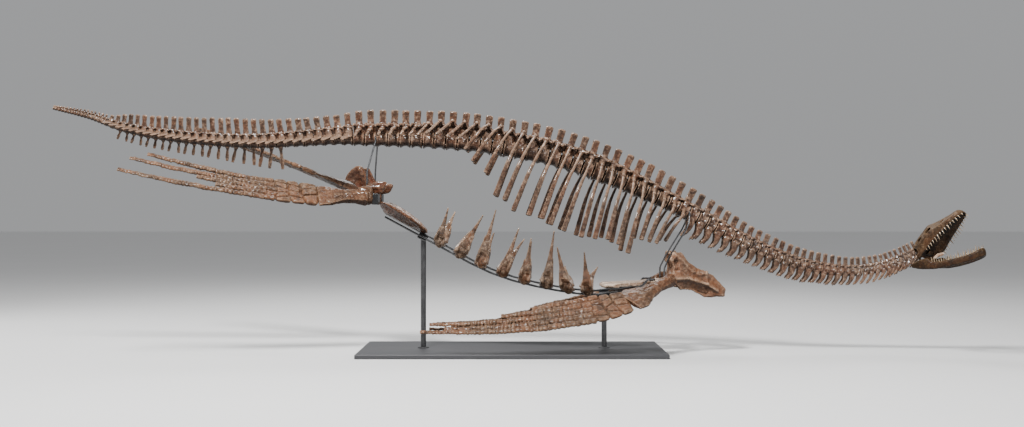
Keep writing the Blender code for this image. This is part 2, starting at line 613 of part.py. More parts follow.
def make_hind_limbs():
    """Both are built as right limbs; the left one is then mirrored over."""
    sizes = ((0.13, 0.072, 0.066), (0.30, 0.056, 0.050), (0.55, 0.058, 0.040), (0.82, 0.098, 0.026))
    axes = (Vector((0.0, 0.0, 0.058)), Vector((0.0, 0.048, 0.0)))
    limbs = (
        ("right", (FEMUR_HEAD_RIGHT, KNEE_RIGHT, HIND_CHORD_RIGHT, HIND_BOW_RIGHT, HIND_TIP_RIGHT)),
        ("left", (FEMUR_HEAD_LEFT, KNEE_LEFT, HIND_CHORD_LEFT, HIND_BOW_LEFT, HIND_TIP_LEFT)),
    )
    for side, points in limbs:
        mirror = side == "left"
        head, knee, chord, bow, tip = (mirrored(point) if mirror else point for point in points)
        frame = make_limb_bone(f"femur_{side}", mirror, head, axes, knee, chord, sizes, 0.112)
        make_flipper(f"flipper_hind_{side}", mirror, knee, frame, bow, tip, chord, HIND_DIGITS, HIND_DRIFT,
                     HIND_SPREAD, 0.112)


# ---- girdles ------------------------------------------------------------------------------------------------------

SCAPULA_OUTLINE = (
    (0.003, 0.5063), (-0.006, 0.5063), (0.006, 0.600), (-0.020, 0.655), (0.004, 0.699), (0.066, 0.708), (0.127, 0.635),
    (0.231, 0.576), (0.328, 0.540), (0.432, 0.440), (0.424, 0.388), (0.258, 0.388), (0.151, 0.437), (0.054, 0.446), (0.006, 0.500),
)
CORACOID_OUTLINE = (
    (1.085, 0.010), (1.100, 0.2006), (1.060, 0.2006), (1.000, 0.150), (0.920, 0.100), (0.800, 0.115), (0.690, 0.190),
    (0.625, 0.150), (0.620, 0.060), (0.720, 0.030), (0.900, 0.010),
)
PUBIS_OUTLINE = (
    (-0.165, 0.000), (-0.198, 0.080), (-0.210, 0.140), (-0.200, 0.190), (-0.150, 0.212), (-0.060, 0.200),
    (0.030, 0.172), (0.110, 0.115), (0.165, 0.060), (0.172, 0.020), (0.160, 0.000),
)
ISCHIUM_OUTLINE = {
    "right": ((-1.161, 1.205), (-1.068, 1.295), (-1.040, 1.288), (-1.000, 1.180), (-0.922, 1.090), (-0.930, 1.045),
              (-1.000, 1.070), (-1.080, 1.150)),
    "left": ((-1.110, 1.175), (-1.058, 1.288), (-1.002, 1.290), (-0.960, 1.195), (-0.922, 1.090), (-0.930, 1.045),
             (-1.000, 1.070), (-1.060, 1.130)),
}
ILIUM_OUTLINE = {
    "right": ((-1.014, 1.148), (-1.014, 1.166), (-0.985, 1.166), (-0.950, 1.192), (-0.863, 1.187), (-0.874, 1.160),
              (-0.905, 1.1058), (-0.950, 1.1058)),
    "left": ((-0.985, 1.162), (-0.985, 1.182), (-0.948, 1.182), (-0.890, 1.180), (-0.841, 1.172), (-0.868, 1.112),
             (-0.905, 1.1058), (-0.935, 1.1058)),
}
HIP_BLOCK = ((-0.9572, -0.9166), (0.0758, 0.2000), (1.0300, 1.1055))


def make_shoulder_girdle():
    for side, hand in (("right", -1), ("left", 1)):
        bm = bmesh.new()
        corner = Vector((1.100, hand * 0.1931, 0.0))
        along = Vector((0.910, -hand * 0.4146, 0.0)).normalized()
        plate(bm, SCAPULA_OUTLINE, corner, along, Vector((0.0, 0.0, 1.0)), 0.024)
        finish_object(f"scapula_{side}", bm, "girdle")
        bm = bmesh.new()
        rise = Vector((1.0, 0.0, 0.068)).normalized()
        plate(bm, CORACOID_OUTLINE, Vector((0.0, 0.0, 0.425)), rise, Vector((0.0, hand, 0.0)), 0.026)
        finish_object(f"coracoid_{side}", bm, "girdle")


def make_pelvis():
    for side, hand in (("right", -1), ("left", 1)):
        bm = bmesh.new()
        along = Vector((0.8836, 0.0, -0.4683)).normalized()
        out = Vector((0.0, hand, 0.35))
        out = (out - along * out.dot(along)).normalized()
        plate(bm, PUBIS_OUTLINE, Vector((-0.748, hand * 0.012, 0.910)), along, out, 0.022)
        finish_object(f"pubis_{side}", bm, "girdle")
        bm = bmesh.new()
        plate(bm, ISCHIUM_OUTLINE[side], Vector((0.0, hand * 0.062, 0.0)), Vector((1.0, 0.0, 0.0)),
              Vector((0.0, 0.0, 1.0)), 0.026)
        finish_object(f"ischium_{side}", bm, "girdle")
        bm = bmesh.new()
        plate(bm, ILIUM_OUTLINE[side], Vector((0.0, hand * 0.105, 0.0)), Vector((1.0, 0.0, 0.0)),
              Vector((0.0, 0.0, 1.0)), 0.042)
        finish_object(f"ilium_{side}", bm, "girdle")
        (rear, front), (inner, outer), (low, high) = HIP_BLOCK
        bm = bmesh.new()
        loft(bm, [[Vector((x, hand * y, z)) for y, z in ((inner, low), (outer, low), (outer, high), (inner, high))]
                  for x in (rear, front)])
        finish_object(f"hip_block_{side}", bm, "rod")


# ---- belly rails, belly ribs, hangers -----------------------------------------------------------------------------

def rail_height(x):
    """Height of the right rail's middle."""
    return float(np.interp(x, [p[0] for p in RAIL], [p[1] for p in RAIL]))


def make_rails():
    for side, hand in (("right", -1), ("left", 1)):
        lift = RAIL_STEP if hand > 0 else 0.0
        route = [(x, hand * RAIL_SPREAD, z + lift) for x, z in RAIL]
        route += [(x, hand * y, z + lift * (0.5, 0.2, 0.0, 0.0, 0.0)[i]) for i, (x, y, z) in enumerate(RAIL_FRONT)]
        bm = bmesh.new()
        tube(bm, route, RAIL_RADIUS)
        finish_object(f"belly_rail_{side}", bm, "rod", rounded=True)


def rail_frame(x):
    """Middle between the rails at x, with the directions along them, from right to left and upwards."""
    centre = Vector((x, 0.0, rail_height(x) + RAIL_STEP / 2))
    along = Vector((0.04, 0.0, rail_height(x + 0.02) - rail_height(x - 0.02))).normalized()
    over = Vector((0.0, 2 * RAIL_SPREAD, RAIL_STEP))
    over = (over - along * over.dot(along)).normalized()
    return centre, along, over, along.cross(over)


def make_gastralia():
    """Rows of belly ribs: each a bow that lies over both rails, with its ends swept up."""
    for i, (x, right_x, right_z, left_x, left_z, half) in enumerate(GASTRALIA):
        centre, along, over, up = rail_frame(x)
        floor = centre + up * RAIL_SEAT
        half_height = 0.014

        def section(middle, length, height, lift):
            lift = lift * height
            reach = along * length
            return [middle - reach - lift, middle + reach - lift, middle + reach + lift, middle - reach + lift]

        arms = []
        for hand, tip_x, tip_z in ((-1, right_x, right_z), (1, left_x, left_z)):
            edge = floor + over * hand * 0.056 + up * half_height
            tip = Vector((tip_x, hand * GASTRALIA_REACH, tip_z))
            belly = edge.lerp(tip, 0.35) + over * hand * 0.030 - up * 0.020
            upper = edge.lerp(tip, 0.70)
            # each section's thin side is square to the bow, which runs from the right tip to the left one
            lifts = [along.cross((after - before) * -hand).normalized()
                     for before, after in ((tip, upper), (tip, belly), (upper, edge))]
            arms.append([section(tip, 0.005, 0.003, lifts[0]), section(upper, 0.014, 0.005, lifts[1]),
                         section(belly, 0.72 * half, 0.010, lifts[2]), section(edge, half, half_height, up)])
        rings = arms[0] + arms[1][::-1]
        bm = bmesh.new()
        loft(bm, rings)
        finish_object(f"gastralia_{i + 1}", bm, "bone")


def make_hangers():
    """Steel rods from the backbone down to the hips and the shoulders."""
    edges = borders(TRUNK)
    for side, hand in (("right", -1), ("left", 1)):
        for name, route in HANGERS.items():
            top = SPINE.point(edges[route[0]])
            beside = table(VERTEBRA_SIZES, 1, top.x) * BODY_WIDTH + ROD_RADIUS + 0.0015
            points = [top + Vector((0.0, hand * beside, 0.014)), top + Vector((0.0, hand * beside, -0.014))]
            points += [Vector((x, hand * y, z)) for x, y, z in route[1][side]]
            bm = bmesh.new()
            tube(bm, points, ROD_RADIUS)
            finish_object(f"hanger_{name}_{side}", bm, "rod", rounded=True)


# ---- stand --------------------------------------------------------------------------------------------------------

def make_stand():
    """A flat base and two posts, each with a saddle under both belly rails."""
    bm = bmesh.new()
    bmesh.ops.create_cube(bm, size=1.0)
    for vert in bm.verts:
        vert.co = Vector((vert.co.x * BASE_LENGTH, vert.co.y * BASE_WIDTH, (vert.co.z + 0.5) * BASE_HEIGHT))
    top = [edge for edge in bm.edges if all(v.co.z > BASE_HEIGHT / 2 for v in edge.verts)]
    bmesh.ops.bevel(bm, geom=top, offset=0.006, segments=1, affect="EDGES")
    finish_object("stand_base", bm, "stand")
    for place, x in POST_X.items():
        centre, along, over, up = rail_frame(x)
        seat = centre - up * (RAIL_SEAT + SADDLE_THICKNESS)

        def on_seat(offset_x, offset_y):
            """Point of the saddle's underside straight above a point of the post's foot."""
            height = (up.dot(seat) - up.x * (x + offset_x) - up.y * offset_y) / up.z
            return Vector((x + offset_x, offset_y, height))

        circle = [(POST_RADIUS * math.cos(a), POST_RADIUS * math.sin(a))
                  for a in (2 * math.pi * (i + 0.5) / 8 for i in range(8))]
        bottom = [Vector((x + cx, cy, BASE_HEIGHT + GAP)) for cx, cy in circle]
        neck = [on_seat(cx, cy) for cx, cy in circle]
        signs = [(math.copysign(1.0, cx) * (1.0 if abs(cx) > abs(cy) else 0.6),
                  math.copysign(1.0, cy) * (1.0 if abs(cy) > abs(cx) else 0.75)) for cx, cy in circle]
        under = [seat + along * a * SADDLE_HALF[0] + over * b * SADDLE_HALF[1] for a, b in signs]
        over_ring = [point + up * SADDLE_THICKNESS for point in under]
        bm = bmesh.new()
        loft(bm, [bottom, neck, under, over_ring])
        finish_object(f"stand_post_{place}", bm, "stand")


clear_scene()
make_trunk()
make_neck()
make_tail()
make_skull()
make_mandible()
make_front_limbs()
make_hind_limbs()
make_shoulder_girdle()
make_pelvis()
make_rails()
make_gastralia()
make_hangers()
make_stand()
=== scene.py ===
import json
import math

import bmesh
import bpy
import numpy as np
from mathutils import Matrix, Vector

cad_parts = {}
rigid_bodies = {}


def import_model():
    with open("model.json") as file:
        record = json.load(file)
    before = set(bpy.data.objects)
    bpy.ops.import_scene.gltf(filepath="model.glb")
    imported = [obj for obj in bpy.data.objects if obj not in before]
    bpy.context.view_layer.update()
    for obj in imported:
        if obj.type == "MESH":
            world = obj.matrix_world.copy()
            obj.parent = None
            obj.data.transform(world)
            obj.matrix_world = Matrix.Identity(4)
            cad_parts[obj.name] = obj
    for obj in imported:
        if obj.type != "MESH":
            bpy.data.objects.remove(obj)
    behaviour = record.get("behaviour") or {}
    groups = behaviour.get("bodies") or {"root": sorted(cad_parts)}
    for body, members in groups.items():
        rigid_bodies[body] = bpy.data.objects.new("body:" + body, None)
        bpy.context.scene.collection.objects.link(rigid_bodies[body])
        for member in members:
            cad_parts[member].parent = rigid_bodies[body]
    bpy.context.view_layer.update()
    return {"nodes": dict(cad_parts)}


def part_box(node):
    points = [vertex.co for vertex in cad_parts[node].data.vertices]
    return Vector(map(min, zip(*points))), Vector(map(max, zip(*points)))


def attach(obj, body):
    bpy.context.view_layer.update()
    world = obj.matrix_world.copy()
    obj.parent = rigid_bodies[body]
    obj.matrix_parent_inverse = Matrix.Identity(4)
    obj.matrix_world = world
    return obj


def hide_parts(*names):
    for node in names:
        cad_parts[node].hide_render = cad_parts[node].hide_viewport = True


# Mounted skeleton of a long-necked plesiosaur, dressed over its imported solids.
# Metres, +X towards the head, +Y to the animal's left, +Z up.

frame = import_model()
cadNodes = frame["nodes"]
print("frame loaded:", len(cadNodes), "nodes")

keptFaces = 0.62  # flat stretches of a skin need fewer faces than the voxel mesh gives
sideNames = {-1: "right", 1: "left"}


def vec(*values):
    return np.array(values, float)


worldUp = vec(0, 0, 1)


def unit(v):
    return v / np.linalg.norm(v)


def across(v, direction):  # the part of v that stands square to a direction, as a unit vector
    return unit(v - direction * np.dot(v, direction))


def table(rows, column, x):  # reads a column of rows that start with their x
    return float(np.interp(x, [row[0] for row in rows], [row[column] for row in rows]))


def stretched(values, count):  # the same run of values over more places
    return np.interp(np.linspace(0, 1, count), np.linspace(0, 1, len(values)), values)


def smoothPath(points, count, closed=False):  # a curve through the points
    points = np.array(points, float)
    n = len(points)
    if closed:
        ends, places = points[np.arange(-1, n + 2) % n], np.arange(count) * n / count
    else:
        ends = np.vstack([2 * points[0] - points[1], points, 2 * points[-1] - points[-2]])
        places = np.linspace(0, n - 1 - 1e-9, count)
    out = []
    for t in places:
        a, b, c, d = ends[int(t):int(t) + 4]
        u = t - int(t)
        out.append(0.5 * (2 * b + (c - a) * u + (2 * a - 5 * b + 4 * c - d) * u ** 2
                          + (3 * b - a - 3 * c + d) * u ** 3))
    return np.array(out)


def placer(origin, ahead, left, up):  # gives the point at distances forward, left and up
    return lambda x, y, z: origin + ahead * x + left * y + up * z


def ring(centre, first, second, count, square=1.0, turn=0.0):
    # points round a centre; square is the power on cosine and sine, and below 1 the ring gets boxy
    angles = (np.arange(count) + turn) * 2 * math.pi / count
    cosines, sines = (np.sign(f(angles)) * np.abs(f(angles)) ** power
                      for f, power in zip((np.cos, np.sin), np.broadcast_to(square, 2)))
    return centre + np.outer(cosines, first) + np.outer(sines, second)


class Clay:
    # closed shapes heaped together; the voxel pass makes one skin of them
    def __init__(self):
        self.points, self.faces = [], []

    def loft(self, rings):
        base, n = len(self.points), len(rings[0])
        last = base + (len(rings) - 1) * n
        self.points += [point for points in rings for point in points]
        self.faces += [(a + i, a + (i + 1) % n, a + n + (i + 1) % n, a + n + i)
                       for a in range(base, last, n) for i in range(n)]
        self.faces += [tuple(range(base + n - 1, base - 1, -1)), tuple(range(last, last + n))]

    def rod(self, path, wide, thick, reference, sides=10, roundEnds=0.6, square=1.0):
        # a tube along a path; wide is its half size along the reference direction, thick is square to it
        path = np.array(path, float)
        wide, thick = stretched(wide, len(path)), stretched(thick, len(path))
        heading = np.gradient(path, axis=0)
        rings = []
        for point, ahead, a, b in zip(path, heading, wide, thick):
            ahead = unit(ahead)
            first = across(reference, ahead)
            rings.append(ring(point, first * a, np.cross(ahead, first) * b, sides, square, 0.5))
        if roundEnds:
            for end, sign in ((0, -1), (-1, 1)):
                out = unit(heading[end]) * sign * min(wide[end], thick[end]) * roundEnds
                cap = path[end] + out + (rings[end] - path[end]) * 0.55
                rings = [cap] + rings if end == 0 else rings + [cap]
        self.loft(rings)

    def blob(self, centre, first, second, third, sides=10, steps=5):
        turns = [math.pi * k / (steps + 1) for k in range(1, steps + 1)]
        self.loft([ring(centre - first * math.cos(a), second * math.sin(a), third * math.sin(a), sides)
                   for a in turns])

    def object(self, name):
        mesh = bpy.data.meshes.new(name)
        mesh.from_pydata([tuple(p) for p in self.points], [], self.faces)
        bm = bmesh.new()
        bm.from_mesh(mesh)
        bmesh.ops.recalc_face_normals(bm, faces=bm.faces)
        return addObject(name, mesh, bm)


def addObject(name, mesh, bm=None):
    if bm:
        bm.to_mesh(mesh)
        bm.free()
    made = bpy.data.objects.new(name, mesh)
    bpy.context.scene.collection.objects.link(made)
    return made


def fromNode(node):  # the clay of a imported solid, to be dressed
    bm = bmesh.new()
    bm.from_mesh(cadNodes[node].data)
    bmesh.ops.remove_doubles(bm, verts=bm.verts, dist=0.00001)
    bm.verts.index_update()
    clay = Clay()
    clay.points = [np.array(v.co) for v in bm.verts]
    clay.faces = [tuple(v.index for v in face.verts) for face in bm.faces]
    bm.free()
    return clay


lumpTextures = {}


def lumps(size):  # one cloud texture for each size
    if size not in lumpTextures:
        texture = lumpTextures[size] = bpy.data.textures.new(f"lumps{len(lumpTextures)}", "CLOUDS")
        texture.noise_scale, texture.noise_depth = size, 2
    return lumpTextures[size]


def modify(made, kind, **settings):
    modifier = made.modifiers.new(kind, kind)
    for key, value in settings.items():
        setattr(modifier, key, value)


def bake(made, name):  # turns an object's modifiers into its mesh
    graph = bpy.context.evaluated_depsgraph_get()
    mesh = bpy.data.meshes.new_from_object(made.evaluated_get(graph))
    made.modifiers.clear()
    old, made.data = made.data, mesh
    mesh.name = name
    bpy.data.meshes.remove(old)
    return made


def roundShading(made, wholly=True):  # wholly, or on four-sided faces alone
    made.data.polygons.foreach_set("use_smooth", [wholly or len(p.vertices) == 4 for p in made.data.polygons])
    return made


def movePoints(made, points):
    made.data.vertices.foreach_set("co", points.ravel())
    made.data.update()


def skin(clay, name, voxel, passes, bumps, grow=0.0):
    # one organic skin over heaped shapes: voxel mesh, a little smoothing, then lumps given by size and height
    made = clay.object(name)
    modify(made, "REMESH", mode="VOXEL", voxel_size=voxel, adaptivity=0.0)
    modify(made, "SMOOTH", factor=0.5, iterations=passes)
    if grow:
        modify(made, "DISPLACE", strength=grow, mid_level=0.0)
    for size, strength in bumps:
        modify(made, "DISPLACE", texture=lumps(size), texture_coords="GLOBAL", strength=strength, mid_level=0.5)
    modify(made, "DECIMATE", ratio=keptFaces)
    return roundShading(bake(made, name))


def place(made, slotName, look, *nodes):
    made.data.materials.clear()
    made.data.materials.append(finishes[look])
    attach(made, "root")
    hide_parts(*nodes)
    return made


def bones(clay, name, build, slotName, look, *nodes):  # build: voxel size, smoothing passes, lumps
    return place(skin(clay, name, *build), slotName, look, *nodes)


class Wire:
    # a node's output that takes part in sums
    def __init__(self, paint, socket):
        self.paint, self.socket = paint, socket

    def maths(self, operation, first, second):
        return self.paint.node("Math", {0: first, 1: second}, operation=operation)

    def __add__(self, other):
        return self.maths("ADD", self, other)

    def __rsub__(self, other):
        return self.maths("SUBTRACT", other, self)

    def __mul__(self, other):
        return self.maths("MULTIPLY", self, other)

    __radd__, __rmul__ = __add__, __mul__


class Paint:
    def __init__(self, name, tree=None, **constants):
        if tree:  # the sky has no shader of its own here
            self.tree = tree
        else:
            self.material = bpy.data.materials.new(name)
            self.material.use_nodes = True
            self.tree = self.material.node_tree
            self.shader = self.tree.nodes["Principled BSDF"]
        for socket, value in constants.items():
            self.shader.inputs[socket.replace("_", " ")].default_value = value
        self.space = self.node("TexCoord", {}, "Generated" if tree else "Object")

    def node(self, kind, sockets, out=0, **settings):
        made = self.tree.nodes.new("ShaderNode" + kind)
        for key, value in settings.items():
            setattr(made, key, value)
        for key, value in sockets.items():
            if isinstance(value, Wire):
                self.tree.links.new(value.socket, made.inputs[key])
            else:
                made.inputs[key].default_value = value
        return Wire(self, made.outputs[out])

    def noise(self, scale, detail=3.0, roughness=0.55, space=None, distortion=0.0):
        return self.node("TexNoise", {"Vector": space or self.space, "Scale": scale, "Detail": detail,
                                      "Roughness": roughness, "Distortion": distortion}, "Fac")

    def stretch(self, scale):
        return self.node("Mapping", {"Vector": self.space, "Scale": scale})

    def cells(self, scale, feature="F1"):
        return self.node("TexVoronoi", {"Vector": self.space, "Scale": scale}, "Distance", feature=feature)

    def vertical(self, wire):
        return self.node("SeparateXYZ", {"Vector": wire}, "Z")

    def span(self, factor, low, high):  # 0 below low, 1 above high
        return self.node("MapRange", {"Value": factor, "From Min": low, "From Max": high},
                         interpolation_type="SMOOTHSTEP")

    def blend(self, factor, first, second):
        first, second = (c if isinstance(c, Wire) else (*c, 1.0) for c in (first, second))
        return self.node("Mix", {6: first, 7: second, 0: factor}, 2, data_type="RGBA")

    def relief(self, height, distance, strength):
        return self.node("Bump", {"Height": height, "Distance": distance, "Strength": strength}, "Normal")

    def wear(self, **sockets):
        for name, wire in sockets.items():
            self.tree.links.new(wire.socket, self.shader.inputs[name.replace("_", " ")])
        return self.material


bonePalette = {
    # tones of the dark (stains, cracks, painted shade), the bone, its red patches and the pale (pale patches,
    # painted highlights);
    # share of the pale tone, gloss, how dark the painted shade in hollows and on undersides gets, strength of the
    # stains, painted light on upward faces
    "spineBone": ((0.005, 0.0026, 0.0017), (0.052, 0.027, 0.0165), (0.08, 0.031, 0.015), (0.39, 0.255, 0.172),
        0.67, 0.5, 0.98, 0.88, 1.0, 0.32),
    "skullBone": ((0.003, 0.0018, 0.001), (0.042, 0.0225, 0.0098), (0.062, 0.026, 0.0098), (0.22, 0.135, 0.072),
        0.6, 0.05, 0.95, 1.0, 1.0, 0.32),
    "jawBone": ((0.003, 0.0018, 0.001), (0.022, 0.0112, 0.0044), (0.036, 0.0135, 0.0046), (0.13, 0.074, 0.031),
        0.55, 0.04, 0.95, 0.8, 1.0, 0.32),
    "hipBone": ((0.006, 0.0026, 0.0013), (0.046, 0.017, 0.008), (0.088, 0.024, 0.009), (0.26, 0.145, 0.082),
        0.48, 0.55, 0.95, 0.5, 1.0, 0.32),
    "limbBone": ((0.007, 0.003, 0.0015), (0.062, 0.029, 0.0145), (0.104, 0.038, 0.015), (0.32, 0.2, 0.122),
        0.55, 0.52, 0.92, 0.85, 0.8, 0.05),
    "shoulderBone": ((0.009, 0.004, 0.002), (0.14, 0.072, 0.042), (0.18, 0.073, 0.034), (0.44, 0.3, 0.2),
        0.46, 0.5, 0.92, 0.85, 0.45, 0.12),
    "breastBone": ((0.018, 0.01, 0.006), (0.33, 0.225, 0.155), (0.33, 0.185, 0.115), (0.76, 0.62, 0.49),
        0.78, 0.35, 0.55, 0.45, 1.0, 0.32),
    "paddleBone": ((0.006, 0.003, 0.0015), (0.078, 0.039, 0.02), (0.132, 0.05, 0.0205), (0.34, 0.218, 0.136),
        0.58, 0.3, 0.92, 0.75, 1.0, 0.05),
    "bellyBone": ((0.006, 0.003, 0.0015), (0.072, 0.038, 0.021), (0.12, 0.048, 0.02), (0.48, 0.335, 0.23),
        0.76, 1.0, 0.5, 0.35, 1.0, 0.32),
}


def boneFinish(name):
    dark, brown, red, pale, paleShare, gloss, depth, under, blotch, top = bonePalette[name]
    paint = Paint(name, Coat_Roughness=0.15, Coat_IOR=1.45, Specular_IOR_Level=0.13)
    patches = paint.noise(6.5, 4.0, 0.6)
    stains = paint.noise(13.0, 5.0, 0.62, distortion=0.6)
    mottle = paint.noise(38.0, 6.0, 0.68, distortion=0.4)
    grain = paint.noise(210.0, 4.0, 0.7)
    streaks = paint.noise(60.0, 4.0, 0.6, space=paint.stretch((0.35, 1.0, 0.9)))
    cracks = paint.span(paint.cells(27.0, "DISTANCE_TO_EDGE"), 0.0, 0.045)
    cracked = paint.span(paint.noise(9.0, 2.0), 0.5, 0.62)
    pores = paint.span(paint.cells(330.0), 0.1, 0.42)
    bend = paint.node("NewGeometry", {}, "Pointiness")
    # painted shade: hollows and creases, found by pointiness, are blended towards the dark tone below; they also get
    # rougher and less coat
    shadedHollows = 1.0 - paint.span(bend, 0.42, 0.506)
    # painted highlight: convex crests, found by pointiness, are blended towards the pale tone below
    crest = paint.span(bend, 0.5, 0.57)
    facing = paint.vertical(paint.node("NewGeometry", {}, "Normal"))  # 1 faces up, -1 down
    colour = paint.blend(paint.span(patches, 0.4, 0.62), brown, red)
    # colour layers: pale patches plus the painted highlight on crests, stains, streaks, cracks, painted light on
    # faces that look up, and painted shade on faces that look down and in hollows
    for share, tone in ((paint.span(mottle, 0.46, 0.74) * paleShare + crest * 0.6, pale),
                        (paint.span(stains, 0.5, 0.66) * 0.62 * blotch, dark),
                        (paint.span(streaks, 0.58, 0.3) * 0.45 * blotch, dark),
                        ((1.0 - cracks) * cracked * 0.8, dark), (paint.span(facing, 0.25, 0.95) * top, pale),
                        (paint.span(facing, 0.0, -0.72) * under, dark), (shadedHollows * depth, dark)):
        colour = paint.blend(share, colour, tone)
    rough = 0.3 + mottle * 0.26 + shadedHollows * 0.2
    height = grain * 0.22 + mottle * 0.6 + pores * 0.12 + cracks * cracked * 0.35 + stains * 0.9
    coat = gloss * (1.0 - shadedHollows * 0.8) * (0.15 + 0.85 * paint.span(facing, -0.45, 0.15))
    return paint.wear(Base_Color=colour, Roughness=rough, Coat_Weight=coat,
                      Normal=paint.relief(height, 0.0045, 0.85))


def toothFinish():
    paint = Paint("toothEnamel", Coat_Weight=0.5, Coat_Roughness=0.1)
    tint = paint.noise(70.0, 3.0, space=paint.stretch((1.0, 1.0, 0.4)))
    colour = paint.blend(paint.span(tint, 0.35, 0.7), (0.13, 0.082, 0.044), (0.37, 0.275, 0.175))
    return paint.wear(Base_Color=colour, Roughness=0.22 + tint * 0.2, Normal=paint.relief(tint, 0.001, 0.4))


def steelFinish(name, tone, shine):
    paint = Paint(name, Metallic=0.55, Coat_Weight=shine, Coat_Roughness=0.25)
    rubbed = paint.noise(26.0, 5.0, 0.65)
    flecks = paint.span(paint.noise(240.0, 3.0, 0.7), 0.62, 0.75)
    dark, light = (tuple(tone * k for k in tint) for tint in ((1.0, 1.0, 1.06), (2.1, 2.1, 2.15)))
    colour = paint.blend(paint.span(rubbed, 0.4, 0.7) * 0.7 + flecks * 0.2, dark, light)
    return paint.wear(Base_Color=colour, Roughness=0.3 + rubbed * 0.22,
                      Normal=paint.relief(rubbed + flecks * 0.2, 0.0008, 0.35))


def boardFinish():
    paint = Paint("standPaint", Coat_Weight=0.12, Coat_Roughness=0.35)
    cloud = paint.noise(3.2, 5.0, 0.6)
    peel = paint.noise(150.0, 3.0, 0.5)
    scuffs = paint.span(paint.noise(30.0, 6.0, 0.8, space=paint.stretch((0.15, 1.0, 1.0))), 0.66, 0.74)
    colour = paint.blend(cloud * 0.6, (0.03, 0.03, 0.033), (0.052, 0.052, 0.056))
    colour = paint.blend(scuffs * 0.25, colour, (0.12, 0.12, 0.125))
    return paint.wear(Base_Color=colour, Roughness=0.4 + cloud * 0.15 + scuffs * 0.15,
                      Normal=paint.relief(peel, 0.0006, 0.25))


def floorFinish():
    paint = Paint("paleFloor", Specular_IOR_Level=0.25)
    cloud = paint.noise(0.6, 4.0, 0.5)
    colour = paint.blend(cloud, (0.72, 0.715, 0.705), (0.76, 0.755, 0.745))
    return paint.wear(Base_Color=colour, Roughness=0.75 + cloud * 0.1)


finishes = {name: boneFinish(name) for name in bonePalette}
finishes.update(tooth=toothFinish(), board=boardFinish(), floor=floorFinish(),
                rod=steelFinish("rodPaint", 0.03, 0.45), hanger=steelFinish("hangerPaint", 0.052, 0.5),
                hip=steelFinish("hipPaint", 0.012, 0.2))
print("finishes ready:", len(finishes))


spine = {
    "line": (
        (-3.213, 0.0, 1.708), (-2.954, 0.0, 1.645), (-2.73, 0.0, 1.565), (-2.429, 0.0, 1.505), (-2.1, 0.0, 1.47),
        (-1.799, 0.0, 1.456), (-1.484, 0.0, 1.47), (-1.183, 0.0, 1.487), (-0.8, 0.0, 1.484), (-0.434, 0.0, 1.47),
        (-0.084, 0.0, 1.428), (0.28, 0.0, 1.358), (0.602, 0.0, 1.253), (0.903, 0.0, 1.127), (1.267, 0.0, 0.952),
        (1.526, 0.0, 0.812), (1.813, 0.0, 0.679), (2.051, 0.0, 0.599), (2.342, -0.01, 0.56), (2.559, -0.06, 0.588),
        (2.713, -0.125, 0.655), (2.794, -0.175, 0.705),
    ),
    # x, half height of the body, height of the arch, height of the spine's top
    "sizes": (
        (-3.21, 0.013, 0.018, 0.022), (-2.84, 0.023, 0.035, 0.06), (-2.7, 0.026, 0.046, 0.112),
        (-2.43, 0.03, 0.056, 0.15), (-1.98, 0.033, 0.066, 0.18), (-1.8, 0.034, 0.07, 0.176),
        (-1.45, 0.038, 0.081, 0.168), (-1.2, 0.042, 0.092, 0.175), (-1.05, 0.05, 0.108, 0.208),
        (-0.6, 0.059, 0.117, 0.212), (-0.43, 0.062, 0.12, 0.218), (0.6, 0.069, 0.116, 0.212),
        (0.9, 0.063, 0.095, 0.203), (1.1, 0.057, 0.077, 0.187), (1.25, 0.055, 0.07, 0.172),
        (1.65, 0.045, 0.058, 0.131), (2.05, 0.039, 0.051, 0.121), (2.4, 0.032, 0.044, 0.106),
        (2.79, 0.026, 0.038, 0.092),
    ),
    # x at the rear, x at the front, vertebrae, relative pitch at the rear and the front
    "tailTip": (-3.213, -2.84, 16, 0.9, 1.1),
    "tail": (-2.84, -1.11, 30, 0.8, 1.2),
    "trunk": (-1.11, 1.232, 30, 1.0, 1.0),
    "neck": (1.232, 2.794, 33, 1.42, 0.58),
    "bodyWidth": 1.1,
}
vertebraBuild = {
    # lean of the spine to the rear, half lengths of arch and spine as shares of the spacing, spine's outline, knobs
    "trunk": (0.0, 0.36, 0.318, (1.0, 0.97, 0.97, 1.0, 1.01, 0.95), 1.0),
    "neck": (0.0, 0.4, 0.325, (1.02, 0.98, 0.97, 0.99, 1.0, 0.9), 1.55),
    "tail": (0.14, 0.36, 0.35, (1.1, 1.0, 0.9, 0.94, 0.98, 0.88), 0.62),
    "tailTip": (0.3, 0.36, 0.3, (1.0, 0.95, 0.9, 0.9, 0.9, 0.8), 0.8),
}


class Backbone:
    def __init__(self, points):
        self.samples = smoothPath(points, 24 * (len(points) - 1) + 1)
        steps = np.linalg.norm(np.diff(self.samples, axis=0), axis=1)
        self.distance = np.concatenate([[0.0], np.cumsum(steps)])

    def atX(self, x):
        return float(np.interp(x, self.samples[:, 0], self.distance))

    def point(self, s):
        return vec(*(float(np.interp(s, self.distance, self.samples[:, i])) for i in range(3)))

    def frame(self, s):
        ahead = unit(self.point(s + 0.02) - self.point(s - 0.02))
        left = unit(np.cross(worldUp, ahead))
        return self.point(s), ahead, left, np.cross(ahead, left)


backbone = Backbone(spine["line"])
draw = np.random.default_rng(11)


def borders(section):  # places along the backbone between the vertebrae
    rear, front, count, rearPitch, frontPitch = spine[section]
    start, end = backbone.atX(rear), backbone.atX(front)
    share = np.linspace(0.0, 1.0, count + 1)
    eased = (rearPitch * share + (frontPitch - rearPitch) * share ** 2 / 2) / ((rearPitch + frontPitch) / 2)
    return start + (end - start) * eased


